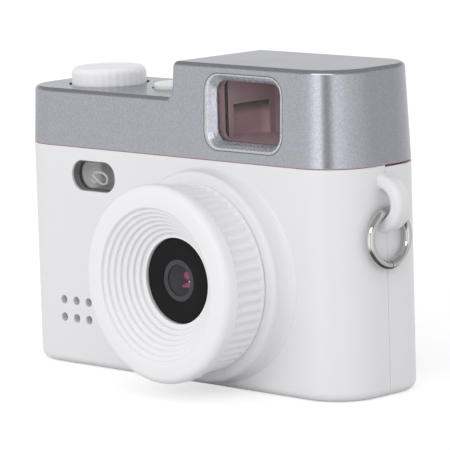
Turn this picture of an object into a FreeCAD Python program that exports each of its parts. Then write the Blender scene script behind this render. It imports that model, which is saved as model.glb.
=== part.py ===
import FreeCAD, Part
import math
import os
from FreeCAD import Vector

# Compact digital camera. Millimetres, +Z up, +X to the right seen from the front, front towards -Y.
# The origin is the centre of the body's bottom face.

# Body
WIDTH = 80.0
DEPTH = 23.6
CORNER = 8.8
WALL = 1.8
SEAM_Z = 39.8
DECK_RISE = 10.3
HUMP_RISE = 6.4
DECK_Z = SEAM_Z + DECK_RISE
HUMP_Z = DECK_Z + HUMP_RISE
STEP_X = 0.14
DRAFT = 2.5
BASE_ROUND = 1.6
PARTING_Y = -0.3
REAR_DROP = 0.3
REVEAL_WIDTH = 0.12
REVEAL_DEPTH = 0.1

# Top cover
TOP_WALL = 1.6
STEP_ROUND = 1.1
FOOT_ROUND = 1.3
TOP_ROUND = 0.85
LIP_HEIGHT = 1.9
LIP_WALL = 1.1
LIP_GAP = 0.1
TOP_GAP = 0.12

# Clearances
SLIDE_GAP = 0.15
SHAFT_GAP = 0.05
SEAT_GAP = 0.05
GLASS_GAP = 0.02
PART_GAP = 0.3

# Lens barrel
LENS_X = 9.4
LENS_Z = 19.9
BOSS_R = 18.4
BOSS_HEIGHT = 3.7
BOSS_ROUND = 0.8
FLARE_SIDE = 2.3
FLARE_TOP = 0.75
FLARE_DEPTH = 2.7
SPIGOT_R = 14.3
SPIGOT_WALL = 1.5
SPIGOT_HEIGHT = 3.5
BEAD = 0.3
BEAD_WIDTH = 0.6
RING_GAP = 0.1
RING_HEIGHT = 14.0
BAND_R = 16.35
BAND_FRONT = 10.4
RIM_R = 17.2
RIM_ROUND = 2.3
RIB_COUNT = 56
RIB_CUT_R = 0.52
RIB_DEPTH = 0.45
RIB_START = 4.3
RIB_END = 11.0
FUNNEL_R = 13.2
FUNNEL_STEPS = 7
STEP_RUN = 0.8
STEP_RISE = 0.77
STEP_EDGE = 0.26
STEP_FOOT = 0.2
WEB = 1.6
RING_TURN = 60.0
STOP_ANGLE = 10.0
STOP_DEPTH = 0.9

# Lens stack
WINDOW_R = 7.42
WINDOW_SINK = 0.37
WINDOW_THICKNESS = 1.0
WINDOW_ROUND = 0.3
CLEAR_R = 3.65
CELL_R = 6.0
CELL_END = -3.4
HOLDER_R = 9.0
HOLDER_FLANGE_R = 14.2
HOLDER_FLANGE = 1.4
SENSOR_BOARD = 15.0
BOARD_THICKNESS = 1.2
THIN_BOARD = 0.8

# Flash
FLASH_X = -WIDTH / 2 + 20.4
FLASH_Z = SEAM_Z - 4.95
FLASH_WIDTH = 11.1
FLASH_HEIGHT = 5.5
FLASH_SINK = 0.25
FLASH_FLANGE = 0.7
FLASH_LED = 2.4
FLASH_LED_X = 2.2

# Speaker
SPEAKER_X = -WIDTH / 2 + 14.8
SPEAKER_Z = 10.2
SPEAKER_PITCH = 3.2
SPEAKER_HOLE_R = 0.8
SPEAKER_COLUMNS = 3
SPEAKER_ROWS = 2
SPEAKER_R = 6.0
SPEAKER_HEIGHT = 3.2
GASKET = 0.5

# Viewfinder
FINDER_X = 17.8
FINDER_DROP = 1.7
FINDER_Z = DECK_Z - FINDER_DROP
FINDER_WIDTH = 18.4
FINDER_HEIGHT = 13.6
FINDER_ROUND = 3.2
FINDER_BEVEL = 1.5
FINDER_DEPTH = 1.9
PANE = 1.2
PANE_MARGIN = 0.6
EYE_WIDTH = 8.4
EYE_HEIGHT = 7.0
EYE_DROP = 0.7
EYE_ROUND = 1.4
EYE_BEVEL = 0.8
TUNNEL_WALL = 0.8
TUNNEL_LENGTH = 13.2
SLIT_START = 0.7
SLIT_WIDTH = 0.9
SLIT_DEPTH = 1.6
RECESS_START = 2.8
RECESS_END = 11.85
RECESS_DEPTH = 2.25
RECESS_HEIGHT = 5.9

# Mode dial
DIAL_X = -WIDTH / 2 + 12.7
DIAL_Y = 0.3
DIAL_R = 6.9
DIAL_GAP = 0.42
DIAL_RISE = 3.05
DIAL_SINK = 1.2
DIAL_ROUND = 1.5
DIAL_LEAN = 0.14
DIAL_RIBS = 32
DIAL_CUT_R = 0.8
DIAL_RIB_DEPTH = 0.16
SHAFT_R = 2.0
ENCODER = 9.0
ENCODER_HEIGHT = 3.2

# Shutter button
SHUTTER_X = -WIDTH / 2 + 29.1
SHUTTER_Y = 1.5
SHUTTER_R = 4.3
SHUTTER_GAP = 0.35
SHUTTER_RISE = 0.85
SHUTTER_ROUND = 0.4
SHUTTER_TRAVEL = 0.7
SHUTTER_FLANGE = 0.6
SHUTTER_STEM_R = 1.5
SPRING_R = 3.05
SPRING_WIRE = 0.35
SPRING_TURNS = 4
SWITCH = 3.4
SWITCH_HEIGHT = 2.4
PLUNGER_R = 0.9

# Boards
MAIN_BOARD_Y = 3.4
MAIN_BOARD_LEFT = -WIDTH / 2 + WALL + 1.0
MAIN_BOARD_RIGHT = WIDTH / 2 - WALL - 1.8
MAIN_BOARD_LOW = WALL + 0.6
MAIN_BOARD_HIGH = SEAM_Z - 2.8
TOP_BOARD_Z = SEAM_Z + 3.0
TOP_BOARD_THICKNESS = 1.0
TOP_BOARD_Y = (-4.6, 7.4)
TOP_BOARD_LEFT = -WIDTH / 2 + 5.0
TOP_BOARD_RIGHT = SHUTTER_X + 4.3
FLEX = 0.2

# Screws
CASE_SCREW_X = WIDTH / 2 - 6.6
CASE_SCREW_Z = (5.5, SEAM_Z - 5.3)
POST_R = 2.6
SCREW_R = 0.95
SCREW_HEAD_R = 1.85
SCREW_HEAD = 1.3
HEAD_DEPTH = 4.8
CROSS_WIDTH = 0.45
CROSS_LENGTH = 1.9
CROSS_DEPTH = 0.8
SMALL_POST_R = 2.0
SMALL_SCREW_R = 0.7
SMALL_HEAD_R = 1.4
SMALL_HEAD = 0.8
TOP_POST_R = 2.2

# Rear buttons
PAD_X = -WIDTH / 2 + 16.8
PAD_Z = SEAM_Z / 2 + 0.7
PAD_PITCH = 5.5
BUTTON_R = 2.1
BUTTON_RISE = 0.8
BUTTON_GAP = 0.15
BUTTON_TRAVEL = 0.5
BUTTON_FLANGE = 0.5
BUTTON_LIP = 0.45
BUTTON_ROUND = 0.35
TACT = 3.6
TACT_HEIGHT = 1.6
TACT_PLUNGER_R = 0.8
TACT_PLUNGER = 0.5

# Display
DISPLAY_LEFT = PAD_X + PAD_PITCH + BUTTON_R + BUTTON_LIP + PART_GAP
DISPLAY_RIGHT = CASE_SCREW_X - POST_R - 2 * PART_GAP
LCD_X = (DISPLAY_LEFT + DISPLAY_RIGHT) / 2
LCD_Z = SEAM_Z / 2 + 0.3
LCD_WIDTH = DISPLAY_RIGHT - DISPLAY_LEFT
LCD_MARGIN = 5.1
LCD_HEIGHT = SEAM_Z - LCD_MARGIN
LCD_THICKNESS = 2.6
VIEW_WIDTH = LCD_WIDTH - 9.6
VIEW_HEIGHT = LCD_HEIGHT - 5.1
COVER_WIDTH = VIEW_WIDTH + 4.4
COVER_HEIGHT = VIEW_HEIGHT + 2.8
COVER_ROUND = 2.2
COVER_THICKNESS = 0.9

# Power and card
BATTERY_X = (-WIDTH / 2 + 18.5, LENS_X - 2.9)
BATTERY_Z = (WALL + 2.8, SEAM_Z - 5.4)
BATTERY_THICKNESS = 4.6
MIC_R = 1.9
TAPE = 0.4
USB_Z = SEAM_Z / 3
USB_LENGTH = 8.94
USB_THICKNESS = 3.26
USB_DEPTH = 7.3
USB_WALL = 0.3
CARD_WIDTH = 13.0
CARD_Z = USB_Z + USB_LENGTH / 2 + CARD_WIDTH / 2 + 1.1
CARD_THICKNESS = 2.0
CARD_DEPTH = 14.0
CARD_SLOT = 11.4
CARD_SLOT_THICKNESS = 1.0

# Strap lug and ring
LUG_Y = -0.8
LUG_Z = SEAM_Z - 6.3
LUG_WIDTH = 3.5
LUG_R = 5.0
LUG_HOLE_R = 2.5
LUG_ROUND = 0.9
STRAP_WIRE_R = 0.775
STRAP_RING_R = 4.7
STRAP_X = WIDTH / 2 + 1.0
STRAP_PIVOT_Z = LUG_Z - 1.2
STRAP_SPLIT = 0.12

FRONT_Y = -DEPTH / 2
REAR_Y = DEPTH / 2
INNER_FRONT = FRONT_Y + WALL
INNER_REAR = REAR_Y - WALL
SLOPE = math.tan(math.radians(DRAFT))
BIG = 200.0

# Places that follow from the sizes
STOP_START = 100.0
STOP_OUTER = BAND_R - RIB_DEPTH - 0.2
PIN_R = 0.7
PIN_REACH = 8.3
WINDOW_FACE = RING_HEIGHT - FUNNEL_STEPS * STEP_RISE - WINDOW_SINK
WINDOW_BACK = WINDOW_FACE - WINDOW_THICKNESS
HOLDER_STEP = WINDOW_BACK - 1.4
PIN_END = HOLDER_STEP - 3.6
ARM_FRONT = PIN_END + 1.6
ARM_BACK = PIN_END - 0.2
ARM_WIDTH = 3.2
CELL_NOSE = WINDOW_BACK - 0.1
PANE_Y = FRONT_Y + FINDER_DEPTH
EYE_PANE_Y = REAR_Y - FINDER_DEPTH
EYE_Z = FINDER_Z - EYE_DROP
PANE_WIDTH = FINDER_WIDTH - 2 * FINDER_BEVEL
PANE_HEIGHT = FINDER_HEIGHT - 2 * FINDER_BEVEL
TUNNEL_RIGHT = FINDER_X + PANE_WIDTH / 2 + TUNNEL_WALL
TOP_SCREW_X = (-7.0, TUNNEL_RIGHT + TOP_POST_R + SLIDE_GAP)
TOP_SCREW_Y = FRONT_Y + 4.9
TAB_Z = (SEAM_Z - 4.1, SEAM_Z - 2.3)
DIAL_FLOOR = DECK_Z - DIAL_SINK
BOARD_TOP = TOP_BOARD_Z + TOP_BOARD_THICKNESS
SWITCH_TOP = BOARD_TOP + SWITCH_HEIGHT
STEM_LOW = SWITCH_TOP + SHUTTER_TRAVEL + 0.1
FLANGE_TOP = DECK_Z - TOP_WALL - 0.7
SPRING_HIGH = FLANGE_TOP - SHUTTER_FLANGE
BOARD_BACK = MAIN_BOARD_Y + BOARD_THICKNESS
USB_Y = MAIN_BOARD_Y - USB_THICKNESS / 2
CARD_Y = MAIN_BOARD_Y - CARD_THICKNESS / 2


def block(x, y, z):
    """Box between three (low, high) pairs."""
    return Part.makeBox(x[1] - x[0], y[1] - y[0], z[1] - z[0], Vector(x[0], y[0], z[0]))


def centred(x, z, width, height, y):
    """Box centred on a point of the front view, between two depths."""
    return block((x - width / 2, x + width / 2), y, (z - height / 2, z + height / 2))


def rod_y(radius, x, z, y):
    return Part.makeCylinder(radius, y[1] - y[0], Vector(x, y[0], z), Vector(0, 1, 0))


def rod_z(radius, x, y, z):
    return Part.makeCylinder(radius, z[1] - z[0], Vector(x, y, z[0]), Vector(0, 0, 1))


def rounded_wire(width, height, radius, place):
    """Rounded rectangle about (0, 0), put in space by place(u, v)."""
    a, b = width / 2, height / 2
    s = radius * (1 - math.sqrt(0.5))
    r = radius
    corners = [
        ((a, b - r), (a - s, b - s), (a - r, b)),
        ((-a + r, b), (-a + s, b - s), (-a, b - r)),
        ((-a, -b + r), (-a + s, -b + s), (-a + r, -b)),
        ((a - r, -b), (a - s, -b + s), (a, -b + r)),
    ]
    edges = []
    for i, (start, middle, end) in enumerate(corners):
        edges.append(Part.Arc(place(*start), place(*middle), place(*end)).toShape())
        following = corners[(i + 1) % 4][0]
        if math.dist(end, following) > 1e-6:
            edges.append(Part.LineSegment(place(*end), place(*following)).toShape())
    return Part.Wire(edges)


def plan_wire(inset, z):
    """The body's outline seen from above, set in by an amount, at a height."""
    return rounded_wire(
        WIDTH - 2 * inset, DEPTH - 2 * inset, CORNER - inset, lambda u, v: Vector(u, v, z)
    )


def plan_prism(inset, z):
    return Part.Face(plan_wire(inset, z[0])).extrude(Vector(0, 0, z[1] - z[0]))


def front_wire(x, z, width, height, radius, y):
    return rounded_wire(width, height, radius, lambda u, v: Vector(x + u, y, z + v))


def front_prism(x, z, width, height, radius, y):
    """Rounded block seen from the front, between two depths."""
    return Part.Face(front_wire(x, z, width, height, radius, y[0])).extrude(
        Vector(0, y[1] - y[0], 0)
    )


def side_prism(y, z, width, height, radius, x):
    """Rounded block seen from the side, between two values of X."""
    wire = rounded_wire(width, height, radius, lambda u, v: Vector(x[0], y + u, z + v))
    return Part.Face(wire).extrude(Vector(x[1] - x[0], 0, 0))


def outline(points, place):
    """Closed wire through (u, v, radius) corners, each rounded by its radius."""
    edges = []
    ends = []
    count = len(points)
    for i, (u, v, radius) in enumerate(points):
        here = Vector(u, v, 0)
        before = Vector(*points[i - 1][:2], 0)
        after = Vector(*points[(i + 1) % count][:2], 0)
        if radius == 0:
            ends.append((here, here))
            continue
        back = (before - here).normalize()
        ahead = (after - here).normalize()
        half = back.getAngle(ahead) / 2
        reach = radius / math.tan(half)
        middle = (back + ahead).normalize()
        nearest = here + middle * (radius / math.sin(half) - radius)
        start, end = here + back * reach, here + ahead * reach
        edges.append((i, Part.Arc(place(start), place(nearest), place(end)).toShape()))
        ends.append((start, end))
    wire = []
    arcs = dict(edges)
    for i in range(count):
        if i in arcs:
            wire.append(arcs[i])
        start, end = ends[i][1], ends[(i + 1) % count][0]
        if (end - start).Length > 1e-6:
            wire.append(Part.LineSegment(place(start), place(end)).toShape())
    return Part.Wire(wire)


def lens_turned(points, angle=360.0, start=0.0):
    """Solid of revolution about the lens axis from (radius, forward, rounding) corners."""
    wire = outline(points, lambda p: Vector(LENS_X + p.x, FRONT_Y - p.y, LENS_Z))
    axis = Vector(LENS_X, 0, LENS_Z)
    solid = Part.Face(wire).revolve(axis, Vector(0, -1, 0), angle)
    solid.rotate(axis, Vector(0, -1, 0), start)
    return as_solid(solid)


def turned_z(points, x, y):
    """Solid of revolution about a vertical axis from (radius, height, rounding) corners."""
    wire = outline(points, lambda p: Vector(x + p.x, y, p.y))
    return as_solid(Part.Face(wire).revolve(Vector(x, y, 0), Vector(0, 0, 1), 360))


def turned_y(points, x, z):
    """Solid of revolution about an axis along Y from (radius, y, rounding) corners."""
    wire = outline(points, lambda p: Vector(x + p.x, p.y, z))
    return as_solid(Part.Face(wire).revolve(Vector(x, 0, z), Vector(0, 1, 0), 360))


def as_solid(shape):
    """The single solid in a shape, facing outwards."""
    solid = shape if shape.ShapeType == "Solid" else shape.Solids[0]
    if solid.Volume < 0:
        solid.reverse()
    return solid


def around_lens(shape, angle):
    copy = shape.copy()
    copy.rotate(Vector(LENS_X, 0, LENS_Z), Vector(0, 1, 0), angle)
    return copy


def ring_of(inner, outer, forward):
    """Tube about the lens axis between two radii and two distances in front of the body."""
    low, high = forward
    return lens_turned([(inner, low, 0), (outer, low, 0), (outer, high, 0), (inner, high, 0)])


def cross_recess(x, z, y, direction):
    """Cross cut for a screwdriver in a head that faces along Y."""
    depth = (y, y + direction * CROSS_DEPTH)
    low, high = min(depth), max(depth)
    first = centred(x, z, CROSS_LENGTH, CROSS_WIDTH, (low, high))
    return first.fuse(centred(x, z, CROSS_WIDTH, CROSS_LENGTH, (low, high)))


def screw_y(x, z, seat, tip, radius, head_radius, head):
    """Screw along Y with its head on a seat and its tip at another depth."""
    direction = 1 if seat > tip else -1
    low, high = min(seat, tip), max(seat, tip)
    shank = rod_y(radius, x, z, (low, high))
    top = seat + direction * head
    cap = rod_y(head_radius, x, z, (min(seat, top), max(seat, top)))
    screw = shank.fuse(cap).removeSplitter()
    return as_solid(screw.cut(cross_recess(x, z, top, -direction)))


def screw_up(x, y, seat, tip, radius, head_radius, head):
    """Screw that enters from below, with its head under a seat."""
    shank = rod_z(radius, x, y, (seat, tip))
    cap = rod_z(head_radius, x, y, (seat - head, seat))
    screw = shank.fuse(cap).removeSplitter()
    slot = CROSS_LENGTH * 0.8 / 2
    half = CROSS_WIDTH / 2
    depth = (seat - head, seat - head / 2)
    cross = block((x - slot, x + slot), (y - half, y + half), depth)
    cross = cross.fuse(block((x - half, x + half), (y - slot, y + slot), depth))
    return as_solid(screw.cut(cross))


def case_points():
    return [(x, z) for x in (-CASE_SCREW_X, CASE_SCREW_X) for z in CASE_SCREW_Z]


def lower_shell():
    """Both white covers before they are parted."""
    outer = plan_prism(0, (0, SEAM_Z))
    rim = [e for e in outer.Edges if e.BoundBox.ZMax < 1e-6]
    outer = outer.makeFillet(BASE_ROUND, rim)
    shell = outer.cut(plan_prism(WALL, (WALL, SEAM_Z + 1)))
    half = REVEAL_WIDTH / 2
    groove = block((-BIG, BIG), (PARTING_Y - half, PARTING_Y + half), (-1, SEAM_Z + 1))
    band = plan_prism(-1.0, (-1, SEAM_Z + 1)).cut(plan_prism(REVEAL_DEPTH, (-1, SEAM_Z + 1)))
    under = block((-BIG, BIG), (-BIG, BIG), (-1, REVEAL_DEPTH))
    return shell.cut(groove.common(band)).cut(groove.common(under))


def strap_lug():
    """Arch on the side wall that the strap ring hangs in."""
    y = (LUG_Y - LUG_WIDTH / 2, LUG_Y + LUG_WIDTH / 2)
    side = WIDTH / 2
    arch = rod_y(LUG_R, side, LUG_Z, y)
    arch = arch.cut(rod_y(LUG_HOLE_R, side, LUG_Z, (y[0] - 1, y[1] + 1)))
    arch = as_solid(arch.cut(block((-BIG, side - WALL / 2), (-BIG, BIG), (-BIG, BIG))))
    round_edges = [e for e in arch.Edges if hasattr(e.Curve, "Radius")]
    arch = arch.makeFillet(LUG_ROUND, round_edges)
    bar = block((side - WALL / 2, side), y, (LUG_Z - LUG_HOLE_R - 0.2, LUG_Z + LUG_HOLE_R + 0.2))
    return arch.fuse(bar)


def lens_boss():
    """Raised round seat of the lens, with the flare that runs into the front wall."""
    base = -WALL
    body = lens_turned(
        [(0, base, 0), (BOSS_R, base, 0), (BOSS_R, BOSS_HEIGHT, BOSS_ROUND), (0, BOSS_HEIGHT, 0)]
    )
    wires = []
    for degrees in (-8, 16, 34, 50, 64, 76):
        angle = math.radians(degrees)
        out = 1 - math.cos(angle)
        forward = FLARE_DEPTH * (1 - math.sin(angle))
        sink = 0.12 if degrees < 0 else 0.0
        a = BOSS_R - sink + FLARE_SIDE * out
        b = BOSS_R - 2 * sink + FLARE_TOP * out
        ellipse = Part.Ellipse(Vector(0, 0, 0), a, b).toShape()
        ellipse.rotate(Vector(0, 0, 0), Vector(1, 0, 0), 90)
        ellipse.translate(Vector(LENS_X, FRONT_Y - forward, LENS_Z))
        wires.append(Part.Wire([ellipse]))
    last = wires[-1].copy()
    last.translate(Vector(0, WALL / 2, 0))
    flare = Part.makeLoft(wires, True, False)
    foot = Part.makeLoft([wires[-1], last], True, True)
    return body.fuse([flare, foot])


def front_cover():
    shell = lower_shell().common(block((-BIG, BIG), (-BIG, PARTING_Y), (-BIG, BIG)))
    lug = strap_lug().common(block((-BIG, BIG), (-BIG, PARTING_Y), (-BIG, BIG)))
    inside = plan_prism(WALL / 2, (WALL / 2, SEAM_Z))
    posts = [rod_y(POST_R, x, z, (FRONT_Y, PARTING_Y)).common(inside) for x, z in case_points()]
    cover = shell.fuse([lens_boss(), lug] + posts)
    spigot_end = BOSS_HEIGHT + SPIGOT_HEIGHT
    spigot = ring_of(SPIGOT_R - SPIGOT_WALL, SPIGOT_R, (BOSS_HEIGHT - 0.5, spigot_end))
    bead_high = spigot_end - 0.1
    bead = ring_of(SPIGOT_R - 0.2, SPIGOT_R + BEAD, (bead_high - BEAD_WIDTH, bead_high))
    cover = cover.fuse([spigot, bead])
    tab_y = (INNER_FRONT - 0.5, TOP_SCREW_Y + 2.4)
    cover = cover.fuse([block((x - 2.6, x + 2.6), tab_y, TAB_Z) for x in TOP_SCREW_X])
    through = (FRONT_Y - 1, INNER_FRONT + 1)
    cuts = [
        rod_y(SPIGOT_R - SPIGOT_WALL, LENS_X, LENS_Z, (FRONT_Y - 20, INNER_FRONT + 1)),
        ring_of(SPIGOT_R + 0.6, BOSS_R - WALL + 0.2, (-WALL - 1, BOSS_HEIGHT - WALL)),
        stop_slot(),
        front_prism(FLASH_X, FLASH_Z, FLASH_WIDTH, FLASH_HEIGHT, FLASH_HEIGHT / 2, through),
    ]
    for x, z in speaker_points():
        cuts.append(rod_y(SPEAKER_HOLE_R, x, z, through))
    for x, z in case_points():
        cuts.append(rod_y(SCREW_R + SHAFT_GAP, x, z, (INNER_FRONT + 1, PARTING_Y + 1)))
    for x in TOP_SCREW_X:
        cuts.append(rod_z(SMALL_SCREW_R + SLIDE_GAP, x, TOP_SCREW_Y, (TAB_Z[0] - 1, TAB_Z[1] + 1)))
    for x, z in holder_points():
        cuts.append(rod_y(SMALL_SCREW_R + SHAFT_GAP, x, z, (INNER_FRONT - 1, INNER_FRONT + 1)))
    return as_solid(cover.cut(cuts))


def stop_slot():
    """Arc in the boss face that the lens ring's stop runs in."""
    clear = 0.6
    points = [
        (SPIGOT_R + 0.1, BOSS_HEIGHT - STOP_DEPTH - SLIDE_GAP, 0),
        (STOP_OUTER + SLIDE_GAP, BOSS_HEIGHT - STOP_DEPTH - SLIDE_GAP, 0),
        (STOP_OUTER + SLIDE_GAP, BOSS_HEIGHT + 0.5, 0),
        (SPIGOT_R + 0.1, BOSS_HEIGHT + 0.5, 0),
    ]
    return lens_turned(points, STOP_ANGLE + RING_TURN + 2 * clear, STOP_START - clear)


def speaker_points():
    points = []
    for i in range(SPEAKER_COLUMNS):
        for j in range(SPEAKER_ROWS):
            x = SPEAKER_X + (i - (SPEAKER_COLUMNS - 1) / 2) * SPEAKER_PITCH
            z = SPEAKER_Z + (j - (SPEAKER_ROWS - 1) / 2) * SPEAKER_PITCH
            points.append((x, z))
    return points


def holder_points():
    """Screws that hold the lens holder's flange."""
    radius = (HOLDER_FLANGE_R + HOLDER_R) / 2 + 0.2
    return [(LENS_X + radius * math.cos(a), LENS_Z + radius * math.sin(a)) for a in (0.0, math.pi)]


def pad_points():
    """Name and centre of each rear button."""
    return {
        "up_button": (PAD_X, PAD_Z + PAD_PITCH),
        "down_button": (PAD_X, PAD_Z - PAD_PITCH),
        "left_button": (PAD_X + PAD_PITCH, PAD_Z),
        "right_button": (PAD_X - PAD_PITCH, PAD_Z),
        "ok_button": (PAD_X, PAD_Z),
    }


def board_posts():
    """Screw places of the main board on the rear cover, beside the battery."""
    middle = (CASE_SCREW_Z[0] + CASE_SCREW_Z[1]) / 2
    return [(PAD_X, CASE_SCREW_Z[0]), (PAD_X, CASE_SCREW_Z[1] - 0.7), (CASE_SCREW_X + 0.2, middle)]


def rear_cover():
    half = block((-BIG, BIG), (PARTING_Y, BIG), (-BIG, SEAM_Z - REAR_DROP))
    shell = lower_shell().common(half)
    lug = strap_lug().common(block((-BIG, BIG), (PARTING_Y, BIG), (-BIG, BIG)))
    inside = plan_prism(WALL / 2, (WALL / 2, SEAM_Z))
    posts = [rod_y(POST_R, x, z, (PARTING_Y, REAR_Y)).common(inside) for x, z in case_points()]
    posts += [rod_y(SMALL_POST_R, x, z, (BOARD_BACK, INNER_REAR + WALL / 2)) for x, z in board_posts()]
    cover = shell.fuse([lug] + posts)
    cuts = []
    for x, z in case_points():
        cuts.append(rod_y(SCREW_HEAD_R + 0.2, x, z, (REAR_Y - HEAD_DEPTH, REAR_Y + 1)))
        cuts.append(rod_y(SCREW_R + SLIDE_GAP, x, z, (PARTING_Y - 1, REAR_Y)))
    for x, z in board_posts():
        cuts.append(rod_y(SMALL_SCREW_R + SHAFT_GAP, x, z, (BOARD_BACK - 1, BOARD_BACK + 4)))
    for x, z in pad_points().values():
        cuts.append(rod_y(BUTTON_R + BUTTON_GAP, x, z, (INNER_REAR - 1, REAR_Y + 1)))
    cuts.append(front_prism(LCD_X, LCD_Z, VIEW_WIDTH, VIEW_HEIGHT, 0.8, (INNER_REAR - 1, REAR_Y)))
    recess = (REAR_Y - COVER_THICKNESS, REAR_Y + 1)
    cuts.append(front_prism(LCD_X, LCD_Z, COVER_WIDTH, COVER_HEIGHT, COVER_ROUND, recess))
    wall = (-WIDTH / 2 - 1, -WIDTH / 2 + WALL + 1.2)
    cuts.append(side_prism(USB_Y, USB_Z, USB_THICKNESS + 0.3, USB_LENGTH + 0.3, USB_THICKNESS / 2, wall))
    cuts.append(side_prism(CARD_Y, CARD_Z, CARD_SLOT_THICKNESS + 0.4, CARD_SLOT + 0.4, 0.4, wall))
    return as_solid(cover.cut(cuts))


def top_profile(inset, cut_low):
    """Front view of the top cover's deck, step and hump, set in by a wall."""
    step_low = STEP_X + inset
    step_high = STEP_X + inset + (HUMP_Z - DECK_Z) * SLOPE
    points = [
        (-BIG / 2, cut_low, 0),
        (-BIG / 2, DECK_Z - inset, 0),
        (step_low, DECK_Z - inset, FOOT_ROUND + inset),
        (step_high, HUMP_Z - inset, max(STEP_ROUND - inset, 0.2)),
        (BIG / 2, HUMP_Z - inset, 0),
        (BIG / 2, cut_low, 0),
    ]
    wire = outline(points, lambda p: Vector(p.x, -BIG / 2, p.y))
    return Part.Face(wire).extrude(Vector(0, BIG, 0))


def tapered_prism(inset, z):
    """Body outline that leans in by the draft above the seam."""
    low = inset + (z[0] - SEAM_Z) * SLOPE
    high = inset + (z[1] - SEAM_Z) * SLOPE
    return Part.makeLoft([plan_wire(low, z[0]), plan_wire(high, z[1])], True, True)


def deck_edges(shape):
    """Edges round the deck, the step and the hump, without the step's own folds."""
    chosen = []
    for edge in shape.Edges:
        box = edge.BoundBox
        if box.ZMin < DECK_Z - 0.2:
            continue
        across = box.YLength > 2 and box.XLength < 0.01 and box.ZLength < 0.01
        if across and abs(box.XMin) < WIDTH / 2 - 4:
            continue
        chosen.append(edge)
    return chosen


def top_cover():
    skirt = SEAM_Z + TOP_GAP
    outer = tapered_prism(0, (skirt, HUMP_Z + 1)).common(top_profile(0, SEAM_Z - 1))
    outer = as_solid(outer)
    outer = outer.makeFillet(TOP_ROUND, deck_edges(outer))
    inner = tapered_prism(TOP_WALL, (skirt - 1, HUMP_Z)).common(top_profile(TOP_WALL, SEAM_Z - 1))
    cover = outer.cut(inner)
    lip_out = WALL + LIP_GAP
    lip = plan_prism(lip_out, (SEAM_Z - LIP_HEIGHT, skirt + 0.5))
    lip = lip.cut(plan_prism(lip_out + LIP_WALL, (SEAM_Z - LIP_HEIGHT - 1, skirt + 1)))
    shelf = plan_prism(0.25, (SEAM_Z + 0.01, skirt + 0.5))
    shelf = shelf.cut(plan_prism(lip_out + LIP_WALL, (SEAM_Z - 1, skirt + 1)))
    frame_y = (FRONT_Y + 0.8, PANE_Y + PANE)
    frame = front_prism(FINDER_X, FINDER_Z, FINDER_WIDTH + 1.6, FINDER_HEIGHT + 1.2, FINDER_ROUND, frame_y)
    eye_y = (EYE_PANE_Y - PANE, REAR_Y - 0.8)
    eye_frame = front_prism(FINDER_X, EYE_Z, EYE_WIDTH + 5.4, EYE_HEIGHT + 4.4, 2.0, eye_y)
    ceiling = DECK_Z - TOP_WALL + 0.2
    boss = rod_z(DIAL_R + DIAL_GAP + 1.5, DIAL_X, DIAL_Y, (DIAL_FLOOR - TOP_WALL, ceiling))
    posts = [rod_z(1.8, x, y, (BOARD_TOP, ceiling)) for x, y in top_board_points()]
    posts.append(rod_z(TOP_POST_R, TOP_SCREW_X[0], TOP_SCREW_Y, (TAB_Z[1], ceiling)))
    posts.append(rod_z(TOP_POST_R, TOP_SCREW_X[1], TOP_SCREW_Y, (TAB_Z[1], HUMP_Z - TOP_WALL + 0.2)))
    guide = rod_z(SHUTTER_R + SHUTTER_GAP + 1.2, SHUTTER_X, SHUTTER_Y, (FLANGE_TOP + 0.1, ceiling))
    inside = [part.common(outer) for part in (frame, eye_frame)]
    cover = cover.fuse([lip, shelf, boss, guide] + posts + inside)
    cuts = [finder_opening(), eye_opening()]
    cuts.append(pane_seat(SEAT_GAP))
    cuts.append(eye_seat(SEAT_GAP))
    cuts.append(rod_z(DIAL_R + DIAL_GAP, DIAL_X, DIAL_Y, (DIAL_FLOOR, DECK_Z + 1)))
    cuts.append(rod_z(SHAFT_R + SHAFT_GAP, DIAL_X, DIAL_Y, (DIAL_FLOOR - 5, DECK_Z)))
    cuts.append(rod_z(SHUTTER_R + SHUTTER_GAP, SHUTTER_X, SHUTTER_Y, (DECK_Z - 5, DECK_Z + 1)))
    flash_half = FLASH_WIDTH / 2 + FLASH_FLANGE + PART_GAP
    cuts.append(block((FLASH_X - flash_half, FLASH_X + flash_half), (FRONT_Y, FRONT_Y + 4), (0, SEAM_Z)))
    for x, y in top_board_points():
        cuts.append(rod_z(SMALL_SCREW_R + SHAFT_GAP, x, y, (BOARD_TOP - 1, BOARD_TOP + 3.2)))
    for x in TOP_SCREW_X:
        cuts.append(rod_z(SMALL_SCREW_R + SHAFT_GAP, x, TOP_SCREW_Y, (TAB_Z[1] - 1, TAB_Z[1] + 4)))
        cuts.append(block((x - 3, x + 3), (FRONT_Y, TOP_SCREW_Y - 2), (0, TAB_Z[1] + SLIDE_GAP)))
    return as_solid(cover.cut(cuts))


def finder_opening():
    """Sloping opening in front of the viewfinder's pane."""
    grow = 0.8
    extra = 2 * grow * FINDER_BEVEL / FINDER_DEPTH
    wide, high = FINDER_WIDTH + extra, FINDER_HEIGHT + extra
    outer = front_wire(FINDER_X, FINDER_Z, wide, high, FINDER_ROUND + extra / 2, FRONT_Y - grow)
    corner = FINDER_ROUND - FINDER_BEVEL + 0.6
    inner = front_wire(FINDER_X, FINDER_Z, PANE_WIDTH, PANE_HEIGHT, corner, PANE_Y + 0.01)
    opening = Part.makeLoft([outer, inner], True, True)
    through = (PANE_Y, PANE_Y + 6)
    return opening.fuse(front_prism(FINDER_X, FINDER_Z, PANE_WIDTH, PANE_HEIGHT, corner, through))


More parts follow.
